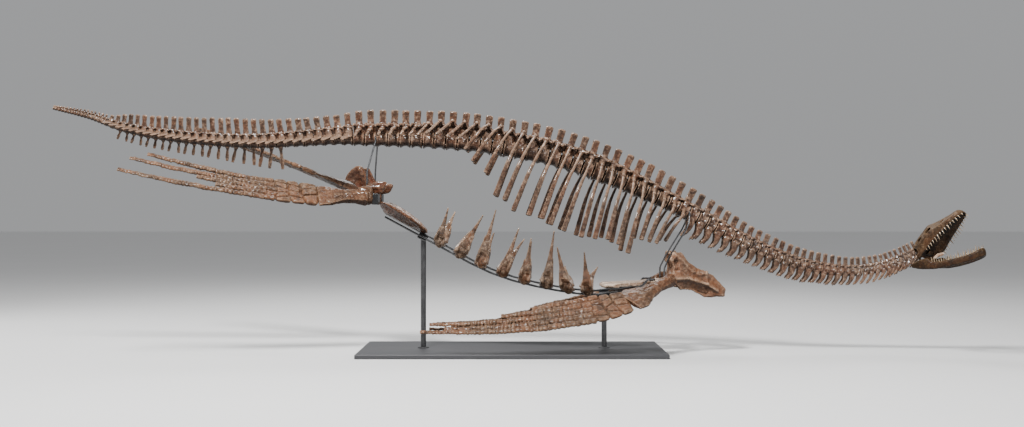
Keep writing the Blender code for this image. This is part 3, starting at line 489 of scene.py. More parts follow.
def vertebra(clay, s, pitch, section):
    # spool-shaped body, arch with its joint knobs, and the spine
    lean, archShare, bladeShare, bladeOutline, knob = vertebraBuild[section]
    centre, ahead, left, up = backbone.frame(s)
    at = placer(centre, ahead, left, up)
    halfHeight, arch, top = (table(spine["sizes"], k, centre[0]) for k in (1, 2, 3))
    halfWidth = halfHeight * spine["bodyWidth"]
    clay.loft([ring(at(d * pitch, 0, 0), left * halfWidth * k, up * halfHeight * k, 20) for d, k in
               ((-0.447, 0.92), (-0.41, 1.0), (-0.3, 0.88), (-0.12, 0.76),
                (0.12, 0.76), (0.3, 0.88), (0.41, 1.0), (0.447, 0.92))])
    wobble = draw.uniform(-1, 1, 6)
    rise = up - ahead * lean
    clay.rod([at(0, 0, h) for h in (halfHeight * 0.5, halfHeight + (arch - halfHeight) * 0.45, arch)],
             vec(1.04, 0.92, 0.96) * archShare * pitch, vec(0.62, 0.5, 0.26) * halfWidth, ahead, 12)
    bladeFoot = at(0, 0, halfHeight + (arch - halfHeight) * 0.5)
    bladeTop = at(0.07 * pitch * wobble[0], 0, arch) + rise * (top - arch - 0.003) * (1 - 0.04 * abs(wobble[4]))
    thin = 0.004 + 0.03 * pitch
    clay.rod([bladeFoot + (bladeTop - bladeFoot) * t for t in (0.0, 0.3, 0.5, 0.75, 0.93, 1.0)],
             np.array(bladeOutline) * bladeShare * pitch * (1 + 0.05 * wobble[1]),
             vec(1.9, 1.3, 0.95, 1.0, 1.45, 1.1) * thin, ahead, 12, square=0.62)
    # the rough, thick rim at the top of the spine
    clay.blob(bladeTop - rise * 0.006, ahead * bladeShare * pitch * 0.98, left * thin * 1.7, rise * 0.009, 10, 4)
    for side in (-1, 1):  # the knobs by which the arches meet
        girth = knob * (1 + 0.1 * wobble[2 + (side > 0)])
        rear = at(-0.44 * pitch, side * 0.36 * halfWidth, 0.95 * arch)
        front = at(0.42 * pitch, side * 0.4 * halfWidth, 0.86 * arch)
        hub = at(0, side * 0.24 * halfWidth, 0.88 * arch)
        for end in (rear, front):
            clay.rod([hub, end], (0.14 * arch * girth, 0.1 * arch * girth), (0.1 * halfWidth,), up, 8)
        for end, long, broad, high in ((rear, 0.105, 0.2, 0.135), (front, 0.095, 0.18, 0.105)):
            clay.blob(end, ahead * long * pitch * girth, left * broad * halfWidth, up * high * arch * girth, 10, 4)
    return at, pitch, centre, ahead, left, up, halfHeight, halfWidth, arch


def column(clay, edges, section):
    # the row of vertebrae, threaded on a core and a filled canal so that it holds together
    core, canal, size, high = [], [], [], []
    for s in np.linspace(edges[0] + 0.001, edges[-1] - 0.001, 3 * len(edges)):
        centre, _, _, up = backbone.frame(s)
        halfHeight, arch = (table(spine["sizes"], k, centre[0]) for k in (1, 2))
        core.append(centre)
        canal.append(centre + up * (0.6 * halfHeight + 0.4 * arch))
        size.append(0.6 * halfHeight)
        high.append(0.47 * (arch - halfHeight) + 0.22 * halfHeight)
    clay.rod(core, size, size, vec(0, 1, 0), 12, roundEnds=0)
    clay.rod(canal, high, [0.17 * k for k in size], worldUp, 8, roundEnds=0)
    return [vertebra(clay, s, pitch, section) for s, pitch in zip((edges[:-1] + edges[1:]) / 2, np.diff(edges))]


trunkRibs = {
    # x, height of the head, drop, sweep to the rear, reach
    "table": (
        (-1.1, 0.045, 0.03, 0.012, 0.15), (-0.74, 0.072, 0.04, 0.022, 0.155), (-0.64, 0.098, 0.075, 0.05, 0.17),
        (-0.48, 0.14, 0.09, 0.1, 0.19), (-0.25, 0.14, 0.11, 0.13, 0.19), (-0.1, 0.14, 0.24, 0.19, 0.24),
        (-0.01, 0.134, 0.31, 0.18, 0.28), (0.08, 0.127, 0.475, 0.2, 0.33), (0.165, 0.116, 0.43, 0.22, 0.33),
        (0.24, 0.107, 0.515, 0.24, 0.35), (0.33, 0.099, 0.48, 0.19, 0.36), (0.49, 0.082, 0.495, 0.23, 0.37),
        (0.62, 0.05, 0.488, 0.15, 0.36), (0.79, 0.04, 0.42, 0.12, 0.34), (0.91, 0.022, 0.445, 0.13, 0.31),
        (0.99, 0.012, 0.285, 0.1, 0.27), (1.13, -0.005, 0.25, 0.14, 0.23), (1.2, -0.035, 0.17, 0.13, 0.18),
    ),
    "headReach": 0.125,
    "straightBelow": 0.12,  # ribs that drop less are straight
    "column": (0.0037, 1, ((0.03, 0.0042), (0.008, 0.0018))),
    "ribs": (0.0038, 1, ((0.035, 0.0032), (0.008, 0.0012))),
}


def trunkRib(clay, process, side, at, pitch, centre, ahead, left, up, halfHeight, halfWidth, arch):
    headHeight, drop, sweep, reach = (table(trunkRibs["table"], k, centre[0]) for k in (1, 2, 3, 4))
    outward = left * side
    thick = 0.01 + 0.007 * min(1.0, drop / 0.4)
    head = at(0, side * trunkRibs["headReach"], headHeight)
    run = reach - trunkRibs["headReach"]
    bow = head + vec(-0.55 * sweep, side * 1.02 * run, -0.48 * drop)
    tip = head + vec(-sweep, side * 0.95 * run, -drop)
    foot = at(0, side * 0.3 * halfWidth, 0.4 * headHeight + 0.45 * arch)
    process.rod([foot, foot + (head - foot) * 0.5, head - (head - foot) * 0.1, head],
                (0.022, 0.0125, 0.0125, 0.016), (0.014, 0.0095, 0.01, 0.012), ahead, 10)
    clay.blob(head + outward * 0.004, outward * 0.014, ahead * 0.0155, up * 0.014)
    if drop > trunkRibs["straightBelow"]:
        bend = head + (bow - head) * 0.42 + outward * 0.022 + up * 0.012
        path = smoothPath([head - up * 0.004, bend, bow, tip], 16)
    else:
        path = smoothPath([head, (head + tip) / 2 + outward * 0.004, tip], 7)
    clay.rod(path, (0.013, 0.01, 0.0095, 0.0105, 0.012, 0.9 * thick, thick, 1.12 * thick),
             (0.0115, 0.009, 0.0085, 0.0085, 0.008, 0.008, 0.0085, 0.0095), ahead, 12)


body, ribs = Clay(), {-1: Clay(), 1: Clay()}
for parts in column(body, borders("trunk"), "trunk"):
    for side in (-1, 1):
        trunkRib(ribs[side], body, side, *parts)
bones(body, "trunkColumn", trunkRibs["column"], "spine_bone", "spineBone", "ribcage_left", "ribcage_right")
for side, word in sideNames.items():
    bones(ribs[side], f"ribs_{word}", trunkRibs["ribs"], "spine_bone", "spineBone", f"ribcage_{word}")
print("trunk done")

neckRibs = {
    "length": ((1.25, 0.122), (1.6, 0.102), (2.0, 0.096), (2.35, 0.078), (2.57, 0.085), (2.8, 0.08)),
    "fall": (-0.45, 0.0, -0.89),  # they hang down and to the rear, whichever way the neck runs
    "build": (0.0034, 2, ((0.022, 0.0034), (0.007, 0.0012))),
}
tailBones = {
    "chevrons": ((-2.73, 0.084), (-2.43, 0.096), (-2.1, 0.112), (-1.8, 0.15), (-1.6, 0.188)),
    "chevronSpan": (-2.76, -1.58),
    "ribReach": 0.051,
    "build": (0.0034, 2, ((0.022, 0.0032), (0.007, 0.0011))),
    "tipBuild": (0.0022, 1, ((0.012, 0.0014),)),
}


def neckRibPair(clay, at, pitch, centre, ahead, left, up, halfHeight, *_):
    length = table(neckRibs["length"], 1, centre[0])
    for side in (-1, 1):
        outward = left * side
        root = at(0, side * 0.8 * halfHeight, -0.55 * halfHeight)
        fall = vec(*neckRibs["fall"]) * ((length - 0.004) * draw.uniform(0.9, 1.0))
        tip = root + outward * 0.15 * halfHeight + fall + ahead * draw.uniform(-0.05, 0.05) * pitch
        bend = root + (tip - root) * 0.55 + outward * 0.1 * halfHeight + ahead * 0.15 * pitch
        clay.blob(root, outward * 0.3 * halfHeight, ahead * 0.36 * pitch, up * 0.36 * halfHeight)
        clay.rod(smoothPath([root, bend, tip - ahead * 0.02 * pitch, tip - ahead * 0.1 * pitch], 11),
                 vec(0.38, 0.33, 0.25, 0.21, 0.22, 0.26, 0.16) * pitch,
                 vec(0.3, 0.24, 0.19, 0.17, 0.14) * halfHeight, ahead, 12)


def tailRibsAndChevron(clay, at, pitch, centre, ahead, left, up, halfHeight, halfWidth, arch):
    for side in (-1, 1):
        crown = at(0, side * 0.16 * halfWidth, 0.8 * arch)
        root = at(0.08 * pitch, side * 0.8 * halfWidth, 0.62 * halfHeight)
        tip = at(-0.5 * pitch, side * (halfHeight * 1.15 + tailBones["ribReach"]), -0.1 * halfHeight)
        middle = (root + tip) / 2 + up * 0.05 * halfHeight - ahead * 0.03 * pitch
        clay.rod(smoothPath([crown, root, middle, tip], 11), vec(0.3, 0.34, 0.42, 0.4, 0.33, 0.2) * pitch,
                 vec(0.2, 0.22, 0.24, 0.17, 0.14, 0.12) * halfHeight, ahead, 12)
    rear, front = tailBones["chevronSpan"]
    if rear < centre[0] < front:
        length = table(tailBones["chevrons"], 1, centre[0]) - 0.003
        lean = 0.16 + 0.14 * math.sin(71.0 * centre[0])  # they hang a little unevenly
        for side in (-1, 1):
            root = at(-0.15 * pitch, side * 0.34 * halfHeight, -0.85 * halfHeight)
            tip = at(-lean * (length - halfHeight), 0, -length)
            join = root + (tip - root) * 0.35 - left * side * 0.28 * halfHeight
            clay.rod(smoothPath([root, join, tip], 8), vec(0.25, 0.17, 0.17, 0.25, 0.2) * pitch,
                     vec(0.24, 0.17, 0.14, 0.14) * halfHeight, ahead, 8)


for section, words, addRibs, build in (("neck", ("rear", "middle", "front"), neckRibPair, neckRibs["build"]),
                                       ("tail", ("middle", "root"), tailRibsAndChevron, tailBones["build"])):
    edges, share = borders(section), spine[section][2] // len(words)
    for i, word in enumerate(words):
        clay = Clay()
        for parts in column(clay, edges[i * share:(i + 1) * share + 1], section):
            addRibs(clay, *parts)
        bones(clay, f"{section}_{word}_bones", build, "spine_bone", "spineBone", f"{section}_{word}")
    print(section, "done")
clay = Clay()
column(clay, borders("tailTip"), "tailTip")
bones(clay, "tail_tip_bones", tailBones["tipBuild"], "spine_bone", "spineBone", "tail_tip")
print("tail tip done")


head = {
    "joint": (2.819, -0.187, 0.634),
    "yaw": -48.0,
    "skullPitch": 41.0,
    "jawPitch": 12.0,
    # x, half width, underside, top
    "skull": (
        (-0.015, 0.078, 0.0, 0.085), (0.03, 0.102, 0.004, 0.125), (0.09, 0.108, 0.014, 0.142),
        (0.15, 0.106, 0.026, 0.152), (0.2, 0.098, 0.038, 0.16), (0.26, 0.086, 0.045, 0.142),
        (0.32, 0.073, 0.051, 0.126), (0.38, 0.058, 0.056, 0.113), (0.425, 0.042, 0.057, 0.106),
        (0.45, 0.022, 0.052, 0.08),
    ),
    # x, distance from the centre plane, half thickness, underside, top
    "jaw": (
        (-0.03, 0.098, 0.011, -0.03, -0.004), (0.03, 0.104, 0.012, -0.05, 0.012),
        (0.095, 0.104, 0.011, -0.062, 0.014), (0.13, 0.1, 0.011, -0.067, -0.016),
        (0.21, 0.088, 0.011, -0.069, -0.022), (0.3, 0.068, 0.011, -0.065, -0.018),
        (0.38, 0.046, 0.012, -0.056, -0.008), (0.43, 0.026, 0.013, -0.047, 0.01), (0.446, 0.0, 0.013, -0.04, 0.016),
    ),
    # openings: x, share of the half width, height, half length, half height, depth
    "openings": (
        (0.198, 0.8, 0.118, 0.03, 0.019, 0.03), (0.105, 0.72, 0.112, 0.036, 0.022, 0.034),
        (0.312, 0.72, 0.106, 0.016, 0.008, 0.012), (0.05, 0.95, 0.052, 0.02, 0.024, 0.022),
    ),
    "throatStalk": ((0.07, -0.1, -0.034), (0.095, -0.078, -0.012), (0.125, -0.046, 0.012)),
    "throatBone": ((0.118, -0.052, 0.008), (0.135, -0.03, 0.024), (0.165, -0.008, 0.03)),
    "tilt": 0.24,  # how far the mouth's far side hangs
    "upperTeeth": 15,
    "lowerTeeth": 20,
    "skullBuild": (0.0026, 2, ((0.02, 0.003), (0.006, 0.0014))),
    "jawBuild": (0.0026, 2, ((0.02, 0.0022), (0.006, 0.0012))),
    "throatBuild": (0.0026, 2, ((0.012, 0.005),)),
}


def headFrame(pitch):  # forward, left, up, and a placer along them
    yaw, pitch = math.radians(head["yaw"]), math.radians(pitch)
    left = vec(-math.sin(yaw), math.cos(yaw), 0)
    ahead = vec(math.cos(yaw) * math.cos(pitch), math.sin(yaw) * math.cos(pitch), math.sin(pitch))
    up = np.cross(ahead, left)
    return ahead, left, up, placer(np.array(head["joint"]), ahead, left, up)


def hang(y):  # how much lower the mouth is at a distance from the centre plane
    return head["tilt"] * max(y, 0.15 * y)


def tooth(clay, root, direction, back, length, radius):
    rings = []
    side = across(back, direction)
    third = np.cross(direction, side)
    for t in (-0.15, 0.0, 0.3, 0.6, 0.85, 1.0):
        centre = root + direction * length * t + back * length * 0.16 * max(t, 0) ** 2
        r = radius * (1 - 0.92 * max(t, 0) ** 1.4)
        rings.append(ring(centre, side * r, third * r, 8))
    clay.loft(rings)


def makeSkull():
    ahead, left, up, at = headFrame(head["skullPitch"])
    clay = Clay()
    rings = []
    for x, w, low, top in smoothPath(head["skull"], 26):
        tall = top - low
        crest = 0.1 * tall if 0.03 < x < 0.2 else 0.0
        half = [(0.16 * w, top + crest * 0.3), (0.46 * w, top - 0.16 * tall), (0.98 * w, low + 0.46 * tall),
                (0.97 * w, low), (0.8 * w, low), (0.6 * w, low + 0.3 * tall)]
        outline = half[:1] + [(-y, z) for y, z in half] + [(0.0, low + 0.42 * tall)] + half[:0:-1]
        turn = min(1.0, max(0.0, x) / 0.1)
        rings.append([at(x, y, z - turn * hang(y) * np.clip((top - z) / tall, 0, 1) ** 0.7)
                      for y, z in smoothPath(outline, 39, True)])
    clay.loft(rings)
    for side in (-1, 1):  # the arm down to the jaw joint
        clay.rod([at(0.075, side * 0.09, 0.085), at(0.03, side * 0.1, 0.04), at(0.012, side * 0.1, 0.006)],
                 (0.024, 0.018, 0.015), (0.014, 0.012, 0.012), ahead, 10)
    piece = skin(clay, "skull_bone_skin", *head["skullBuild"])
    points = np.array([v.co for v in piece.data.vertices])
    for x, share, height, halfLength, halfHeight, depth in head["openings"]:
        width = table(head["skull"], 1, x) * share
        for side in (-1, 1):
            inward = unit(-left * side - up * 0.35)
            offset = points - at(x, side * width, height)
            # the opening is drawn on the surface, and sinks in with a rounded floor
            r = (offset @ ahead / halfLength) ** 2 + (offset @ across(up, inward) / halfHeight) ** 2
            near = np.abs(offset @ inward) < 0.045
            sink = np.where(near, np.clip(1 - r, 0, 1) ** 0.45 * depth, 0)
            rim = np.where(near, np.exp(-((np.sqrt(r) - 1.15) / 0.16) ** 2) * 0.0026, 0)
            points += np.outer(sink - rim, inward)
    # the back of the head ends where the neck begins
    centre, heading, _, _ = backbone.frame(backbone.atX(spine["neck"][1]))
    points -= np.outer(np.clip((points - centre) @ heading - 0.0006, None, 0), heading)
    movePoints(piece, points)
    place(piece, "skull_bone", "skullBone", "skull")
    teeth = Clay()
    for side in (-1, 1):
        for t in np.linspace(0, 1, head["upperTeeth"]):
            x = 0.125 + 0.318 * t
            w, low = (table(head["skull"], k, x) for k in (1, 2))
            length = (0.023 + 0.025 * math.sin(math.pi * min(0.93, 0.12 + 0.8 * t))) * draw.uniform(0.62, 1.22)
            aim = unit(-up + ahead * (0.1 + 0.35 * t ** 3) + left * side * 0.22)
            tooth(teeth, at(x, side * 0.9 * w, low + 0.004 - hang(side * 0.9 * w)), aim, -ahead, length,
                  0.0031 + 0.06 * length)
    place(roundShading(teeth.object("teeth_upper")), "skull_bone", "tooth", "skull")


def makeJaw():
    ahead, left, up, at = headFrame(head["jawPitch"])
    near = [(x, -y, k, low, top) for x, y, k, low, top in head["jaw"]]
    rows = smoothPath(near + list(head["jaw"][-2::-1]), 72)  # round the chin from the right to the left joint
    rings = []
    for i, (x, y, k, low, top) in enumerate(rows):
        before, after = rows[max(i - 1, 0)], rows[min(i + 1, len(rows) - 1)]
        heading = unit(ahead * (after[0] - before[0]) + left * (after[1] - before[1]))
        rings.append(ring(at(x, y, (low + top) / 2), np.cross(heading, up) * k, up * (top - low) / 2, 14, 0.8))
    clay = Clay()
    clay.loft(rings)
    clay.rod([at(*row) for row in head["throatStalk"]], (0.008,), (0.006,), up, 10)
    bones(clay, "jaw_bone_skin", head["jawBuild"], "skull_bone", "jawBone", "mandible")
    clay = Clay()
    clay.rod([at(*row) for row in head["throatBone"]], (0.009, 0.013, 0.011), (0.008, 0.009, 0.008), up, 10)
    bones(clay, "tongue_bone_skin", head["throatBuild"], "skull_bone", "breastBone", "mandible")
    teeth = Clay()
    for side in (-1, 1):
        for i in range(head["lowerTeeth"]):
            t = i / (head["lowerTeeth"] - 0.5)
            x = 0.125 + 0.312 * t
            y, top = (table(head["jaw"], k, x) for k in (1, 4))
            length = (0.034 + 0.014 * t) * draw.uniform(0.58, 1.22)
            aim = unit(up + ahead * (0.15 + 0.25 * t) + left * side * 0.2)
            tooth(teeth, at(x, side * y, top - 0.002), aim, -ahead, length, 0.003 + 0.056 * length)
    place(roundShading(teeth.object("teeth_lower")), "skull_bone", "tooth", "mandible")


makeSkull()
makeJaw()
print("head done")


# Limbs are built as right limbs, and a left one is mirrored over.
limbs = {
    "front": {
        "bone": "humerus", "digits": (0.5, 0.65, 0.965, 0.9, 1.0), "spread": (1.15, 1.05, 0.78),
        "drift": (0.9, 0.1, 0.12, 0.12, 0.0), "bridge": 0.11, "width": 0.122,
        # head, joint, chord at the joint and at the tip, bow and tip of the paddle
        "right": ((1.085, -0.201, 0.512), (0.783, -0.4, 0.378), (0.617, -0.704, -0.358), (0.0, -0.72, -0.69),
                  (0.19, -0.5, 0.24), (-0.607, -0.42, 0.236)),
        "left": ((1.085, -0.201, 0.512), (0.783, -0.4, 0.378), (0.617, -0.704, -0.358), (0.0, -0.72, -0.69),
                 (0.19, -0.5, 0.16), (-0.607, -0.42, 0.17)),
    },
    "hind": {
        "bone": "femur", "digits": (0.89, 0.97, 0.6, 0.5, 1.0), "spread": (1.06, 1.0, 1.04),
        "drift": (-0.35, 0.08, 0.0, 0.0, 0.15), "bridge": 0.0, "width": 0.112,
        "right": ((-0.9575, -0.165, 1.083), (-1.317, -0.28, 1.091), (0.179, -0.726, -0.625),
                  (0.179, -0.726, -0.625), (-2.0, -0.5, 1.175), (-2.556, -0.56, 1.325)),
        "left": ((-0.9575, -0.15, 1.083), (-1.385, -0.36, 1.232), (0.334, -0.906, -0.259),
                 (0.334, -0.906, -0.259), (-2.0075, -0.595, 1.491), (-2.4, -0.85, 1.6)),
    },
    "palmEnd": 0.36,
    # three rows of wrist bones: shares of the paddle's length between the rows, their slope, cuts across each row
    "seams": (0.002, 0.08, 0.142, 0.203),
    "slopes": (0.0, -0.016, -0.012, -0.006),
    "cuts": ((-1.0, -0.36, 0.18, 1.0), (-1.0, -0.52, 0.02, 0.5, 1.0), (-1.0, -0.62, -0.2, 0.22, 0.62, 1.0)),
    "gap": 0.0028,
    "paddleBuild": (0.0031, 1, ((0.024, 0.0034), (0.008, 0.0018))),
    "boneBuild": (0.004, 7, ((0.06, 0.0085), (0.02, 0.0052), (0.007, 0.0018)), 0.001),
}


def tablet(clay, corners, lift, halfThick):
    # a flat many-sided bone of the wrist, drawn inside four corners
    corners = np.array(corners)
    middle = corners.mean(axis=0)
    a, b = ring(vec(0, 0), vec(1, 0), vec(0, 1), 20, 0.42, 0.5).T
    weights = np.stack([(1 - a) * (1 - b), (1 + a) * (1 - b), (1 + a) * (1 + b), (1 - a) * (1 + b)], 1) / 4
    edge = weights @ corners - middle
    edge *= 1 - limbs["gap"] / np.linalg.norm(edge, axis=1).mean()
    clay.loft([middle + edge * k + lift * halfThick * h for k, h in
               ((0.4, -1.06), (0.7, -1.08), (0.88, -0.8), (0.98, -0.35),
                (0.98, 0.35), (0.88, 0.8), (0.7, 1.08), (0.4, 1.06))])


def phalanx(clay, start, end, lead, lift, halfWidth, halfThick):
    # a spool that flares at both ends
    clay.loft([ring(start + (end - start) * t, lead * halfWidth * k, lift * halfThick * k, 12) for t, k in
               ((0.0, 0.84), (0.12, 1.0), (0.28, 0.97), (0.5, 0.8), (0.74, 0.96), (0.89, 1.0), (1.0, 0.84))])


def makePaddle(pair, side):
    limb, palmEnd = limbs[pair], limbs["palmEnd"]
    start, joint, chord, tipChord, bow, tip = (np.array(row) for row in limb[side])
    chord = across(chord, unit(joint - start))

    def spot(share):
        centre = joint * (1 - share) ** 2 + bow * 2 * share * (1 - share) + tip * share ** 2
        ahead = unit((bow - joint) * (1 - share) + (tip - bow) * share)
        lead = across(chord + (tipChord - chord) * min(1.0, 2.0 * share), ahead)
        return centre, ahead, lead, np.cross(ahead, lead)

    def widthAt(share):
        return limb["width"] * float(np.interp(share, (0.0, 0.15, palmEnd, 1.0), (1.0, *limb["spread"])))

    clay = Clay()
    rings = []
    for share in np.linspace(0.0, palmEnd + limb["bridge"], 10):  # the hidden core that holds the small bones
        centre, ahead, lead, lift = spot(share)
        rings.append(ring(centre, lead * (widthAt(share) - 0.02), lift * 0.0036, 16, (0.5, 1.0), 0.5))
    clay.loft(rings)
    phases = draw.uniform(0, 6.28, 4)

    def seam(k, y):  # the uneven line between two rows of small bones
        return limbs["seams"][k] + limbs["slopes"][k] * y + 0.007 * (k > 0) * math.sin(4.2 * y + phases[k])

    for k, cuts in enumerate(limbs["cuts"]):
        slants = [0.0] + list(draw.uniform(-0.13, 0.13, len(cuts) - 2)) + [0.0]
        for (a, slantA), (b, slantB) in zip(zip(cuts, slants), zip(cuts[1:], slants[1:])):
            corners = []
            for row, y in ((k, a - slantA), (k + 1, a + slantA), (k + 1, b + slantB), (k, b - slantB)):
                share = seam(row, y)
                centre, ahead, lead, lift = spot(share)
                edge = 1.0 - 0.05 * (abs(y) > 0.95) * draw.uniform(0.0, 1.8)
                corners.append(centre + lead * y * edge * widthAt(share))
            thick = (0.0175 - 0.018 * limbs["seams"][k]) * (1.0 - 0.3 * abs((a + b) / 2) ** 3)
            tablet(clay, corners, lift, thick * draw.uniform(0.82, 1.14))
    count = len(limb["digits"])
    for i, reach in enumerate(limb["digits"]):
        lane = (2 * i + 1 - count) / count
        share = seam(3, lane)
        step = 0.05 * (1.0 + 0.1 * math.sin(2.3 * i + limb["width"] * 50))  # how long a finger bone is
        while share < reach - 0.01:
            after = min(share + step * draw.uniform(0.9, 1.1), reach)
            if reach - after < 0.012:
                after = reach
            ends = []
            for along in (share + 0.0013, after - 0.0013):
                centre, ahead, lead, lift = spot(along)
                drift = limb["drift"][i] * max(0.0, along - palmEnd) / (1 - palmEnd)
                shift = widthAt(along) * (lane + drift) + draw.uniform(-0.0028, 0.0028)
                ends.append(centre + lead * shift + lift * draw.uniform(-0.003, 0.003))
            taper = float(np.interp(share, (0.2, palmEnd, palmEnd + 0.45 * (reach - palmEnd), reach),
                                    (0.95, 1.01, 1.06, 0.78)))
            half = widthAt(share) / count * taper * draw.uniform(0.9, 1.05)
            thick = max(0.0085, 0.0185 * taper * (1.0 - 0.38 * share)) * draw.uniform(0.88, 1.1)
            phalanx(clay, *ends, lead, lift, half, thick)
            clay.rod([ends[0] - ahead * 0.006, ends[1] + ahead * 0.006 * (after < reach)],
                     (half * 0.42,), (thick * 0.42,), lead, 8, roundEnds=0)  # a slim core joins the row
            share, step = after, max(0.0275, step * 0.965)
    if side == "left":
        clay.points = list(np.array(clay.points) * vec(1, -1, 1))
    bones(clay, f"paddle_{pair}_{side}", limbs["paddleBuild"], "paddle_bone", "paddleBone", f"flipper_{pair}_{side}")


def makeLimbBone(pair, side):
    node = f"{limbs[pair]['bone']}_{side}"
    clay = fromNode(node)
    if pair == "hind":  # the femur gets a round head that reaches its hip block
        flip = vec(1, -1 if side == "left" else 1, 1)
        start, joint = (np.array(row) * flip for row in limbs[pair][side][:2])
        clay.rod([start + unit(joint - start) * d + worldUp * 0.01 for d in (0.1, 0.055, 0.022, 0.006)],
                 (0.056, 0.066, 0.063, 0.05), (0.036, 0.048, 0.046, 0.036), worldUp, 18, roundEnds=0, square=0.85)
    bones(clay, f"{node}_bone", limbs["boneBuild"], "paddle_bone", "limbBone", node)


for pair in ("front", "hind"):
    for side in ("right", "left"):
        makePaddle(pair, side)
        makeLimbBone(pair, side)
print("limbs done")


girdles = {
    "build": (0.0042, 7, ((0.07, 0.012), (0.024, 0.0052), (0.008, 0.002)), 0.0005),
    "looks": {"scapula": "shoulderBone", "coracoid": "breastBone"},  # the others look like the hips
    # rounded plates: distance from the middle, half thickness, outlines in x and z
    "plates": {
        "ischium": {"centre": 0.062, "half": 0.014,
                    "right": ((-1.161, 1.205), (-1.142, 1.246), (-1.106, 1.283), (-1.068, 1.297), (-1.038, 1.284),
                              (-1.014, 1.226), (-0.984, 1.16), (-0.926, 1.094), (-0.932, 1.047), (-0.995, 1.068),
                              (-1.055, 1.13), (-1.11, 1.183)),
                    "left": ((-1.11, 1.175), (-1.086, 1.236), (-1.048, 1.286), (-1.01, 1.289), (-0.984, 1.24),
                             (-0.956, 1.184), (-0.926, 1.094), (-0.932, 1.047), (-0.995, 1.068), (-1.06, 1.13))},
        "ilium": {"centre": 0.105, "half": 0.022,
                  "right": ((-1.014, 1.154), (-1.006, 1.167), (-0.982, 1.169), (-0.948, 1.189), (-0.9, 1.191),
                            (-0.866, 1.185), (-0.876, 1.156), (-0.905, 1.109), (-0.95, 1.106), (-0.988, 1.128)),
                  "left": ((-0.985, 1.164), (-0.975, 1.182), (-0.946, 1.184), (-0.89, 1.181), (-0.843, 1.171),
                           (-0.866, 1.118), (-0.905, 1.107), (-0.937, 1.107), (-0.965, 1.132))},
    },
    # lines in x and z, how far they reach, how high they stand; grooves are below 0
    "ridges": {
        "scapula": (
            (((1.126, 0.523), (1.213, 0.522), (1.344, 0.479), (1.42, 0.435)), 0.017, 0.013),
            (((1.11, 0.695), (1.165, 0.655), (1.222, 0.585), (1.3, 0.548), (1.344, 0.556)), 0.013, 0.005),
            (((1.344, 0.556), (1.35, 0.48)), 0.012, 0.006), (((1.125, 0.635), (1.128, 0.59)), 0.02, -0.012),
            (((1.2, 0.468), (1.345, 0.424)), 0.022, -0.01), (((1.39, 0.52), (1.44, 0.45)), 0.022, -0.003),
        ),
        "ischium": ((((-1.055, 1.275), (-1.005, 1.185), (-0.94, 1.085)), 0.02, 0.008),
                    (((-1.105, 1.215), (-1.04, 1.15)), 0.024, -0.007)),
        "ilium": ((((-0.98, 1.15), (-0.9, 1.15)), 0.014, 0.005),),
        "pubis": ((((-0.87, 0.985), (-0.7, 0.88)), 0.02, 0.006),),
        "coracoid": ((((0.73, 0.43), (1.02, 0.47)), 0.02, 0.005),),
    },
}


def hipPlate(shape, side):
    outline = smoothPath(shape[side], 56, True)
    middle = outline.mean(axis=0)
    y = shape["centre"] * (1 if side == "left" else -1)
    clay = Clay()
    clay.loft([[vec(x, y + h * shape["half"], z) for x, z in middle + (outline - middle) * k]
               for k, h in ((0.72, -0.95), (0.93, -0.8), (1.0, -0.35), (1.0, 0.35), (0.93, 0.8), (0.72, 0.95))])
    return clay


def drawRidges(piece, lines):
    points, normals = (np.array([getattr(v, key) for v in piece.data.vertices]) for key in ("co", "normal"))
    flat = points[:, [0, 2]]
    push = np.zeros(len(points))
    for line, reach, height in lines:
        nearest = np.full(len(points), 9.0)
        for a, b in zip(np.array(line)[:-1], np.array(line)[1:]):
            along = b - a
            t = np.clip((flat - a) @ along / (along @ along), 0, 1)
            nearest = np.minimum(nearest, np.linalg.norm(flat - a - t[:, None] * along, axis=1))
        push += 1.5 * height * np.exp(-(nearest / reach) ** 2)
    movePoints(piece, points + normals * push[:, None])


for bone, lines in girdles["ridges"].items():
    for side in ("left", "right"):
        node, plate = f"{bone}_{side}", girdles["plates"].get(bone)
        clay = hipPlate(plate, side) if plate else fromNode(node)
        piece = skin(clay, f"{node}_bone", *girdles["build"])
        drawRidges(piece, lines)
        place(piece, "girdle_bone", girdles["looks"].get(bone, "hipBone"), node)
print("girdles done")


rails = {
    "radius": 0.0075, "spread": 0.04, "step": 0.024, "gap": 0.0004,
    "line": (
        (-0.885, 0.945), (-0.58, 0.781), (-0.44, 0.705), (-0.3, 0.628), (-0.148, 0.556), (0.003, 0.503),
        (0.16, 0.464), (0.312, 0.434), (0.452, 0.412), (0.59, 0.404), (0.7, 0.417),
    ),
    "front": ((0.797, 0.09, 0.437), (0.883, 0.136, 0.461), (0.915, 0.14, 0.49), (0.932, 0.139, 0.512),
              (0.985, 0.12, 0.513)),
    "frontLift": (0.5, 0.2, 0.0, 0.0, 0.0),
}
hangers = {
    "radius": 0.006, "gap": 0.0015,
    # points below the backbone; the vertebra each hangs behind; half the width there
    "chest": ((1.226, 0.1, 0.905), (1.2, 0.106, 0.85), (1.159, 0.108, 0.786), (1.089, 0.115, 0.671),
              (1.05, 0.128, 0.59), (1.05, 0.135, 0.5105)),
    "pelvis": {"right": ((-1.003, 0.105, 1.26), (-1.003, 0.105, 1.1668)),
               "left": ((-0.968, 0.105, 1.26), (-0.968, 0.105, 1.1826))},
    "behind": {"chest": 30, "pelvis": 2},
    "beside": {"chest": 0.0716, "pelvis": 0.0597},
}


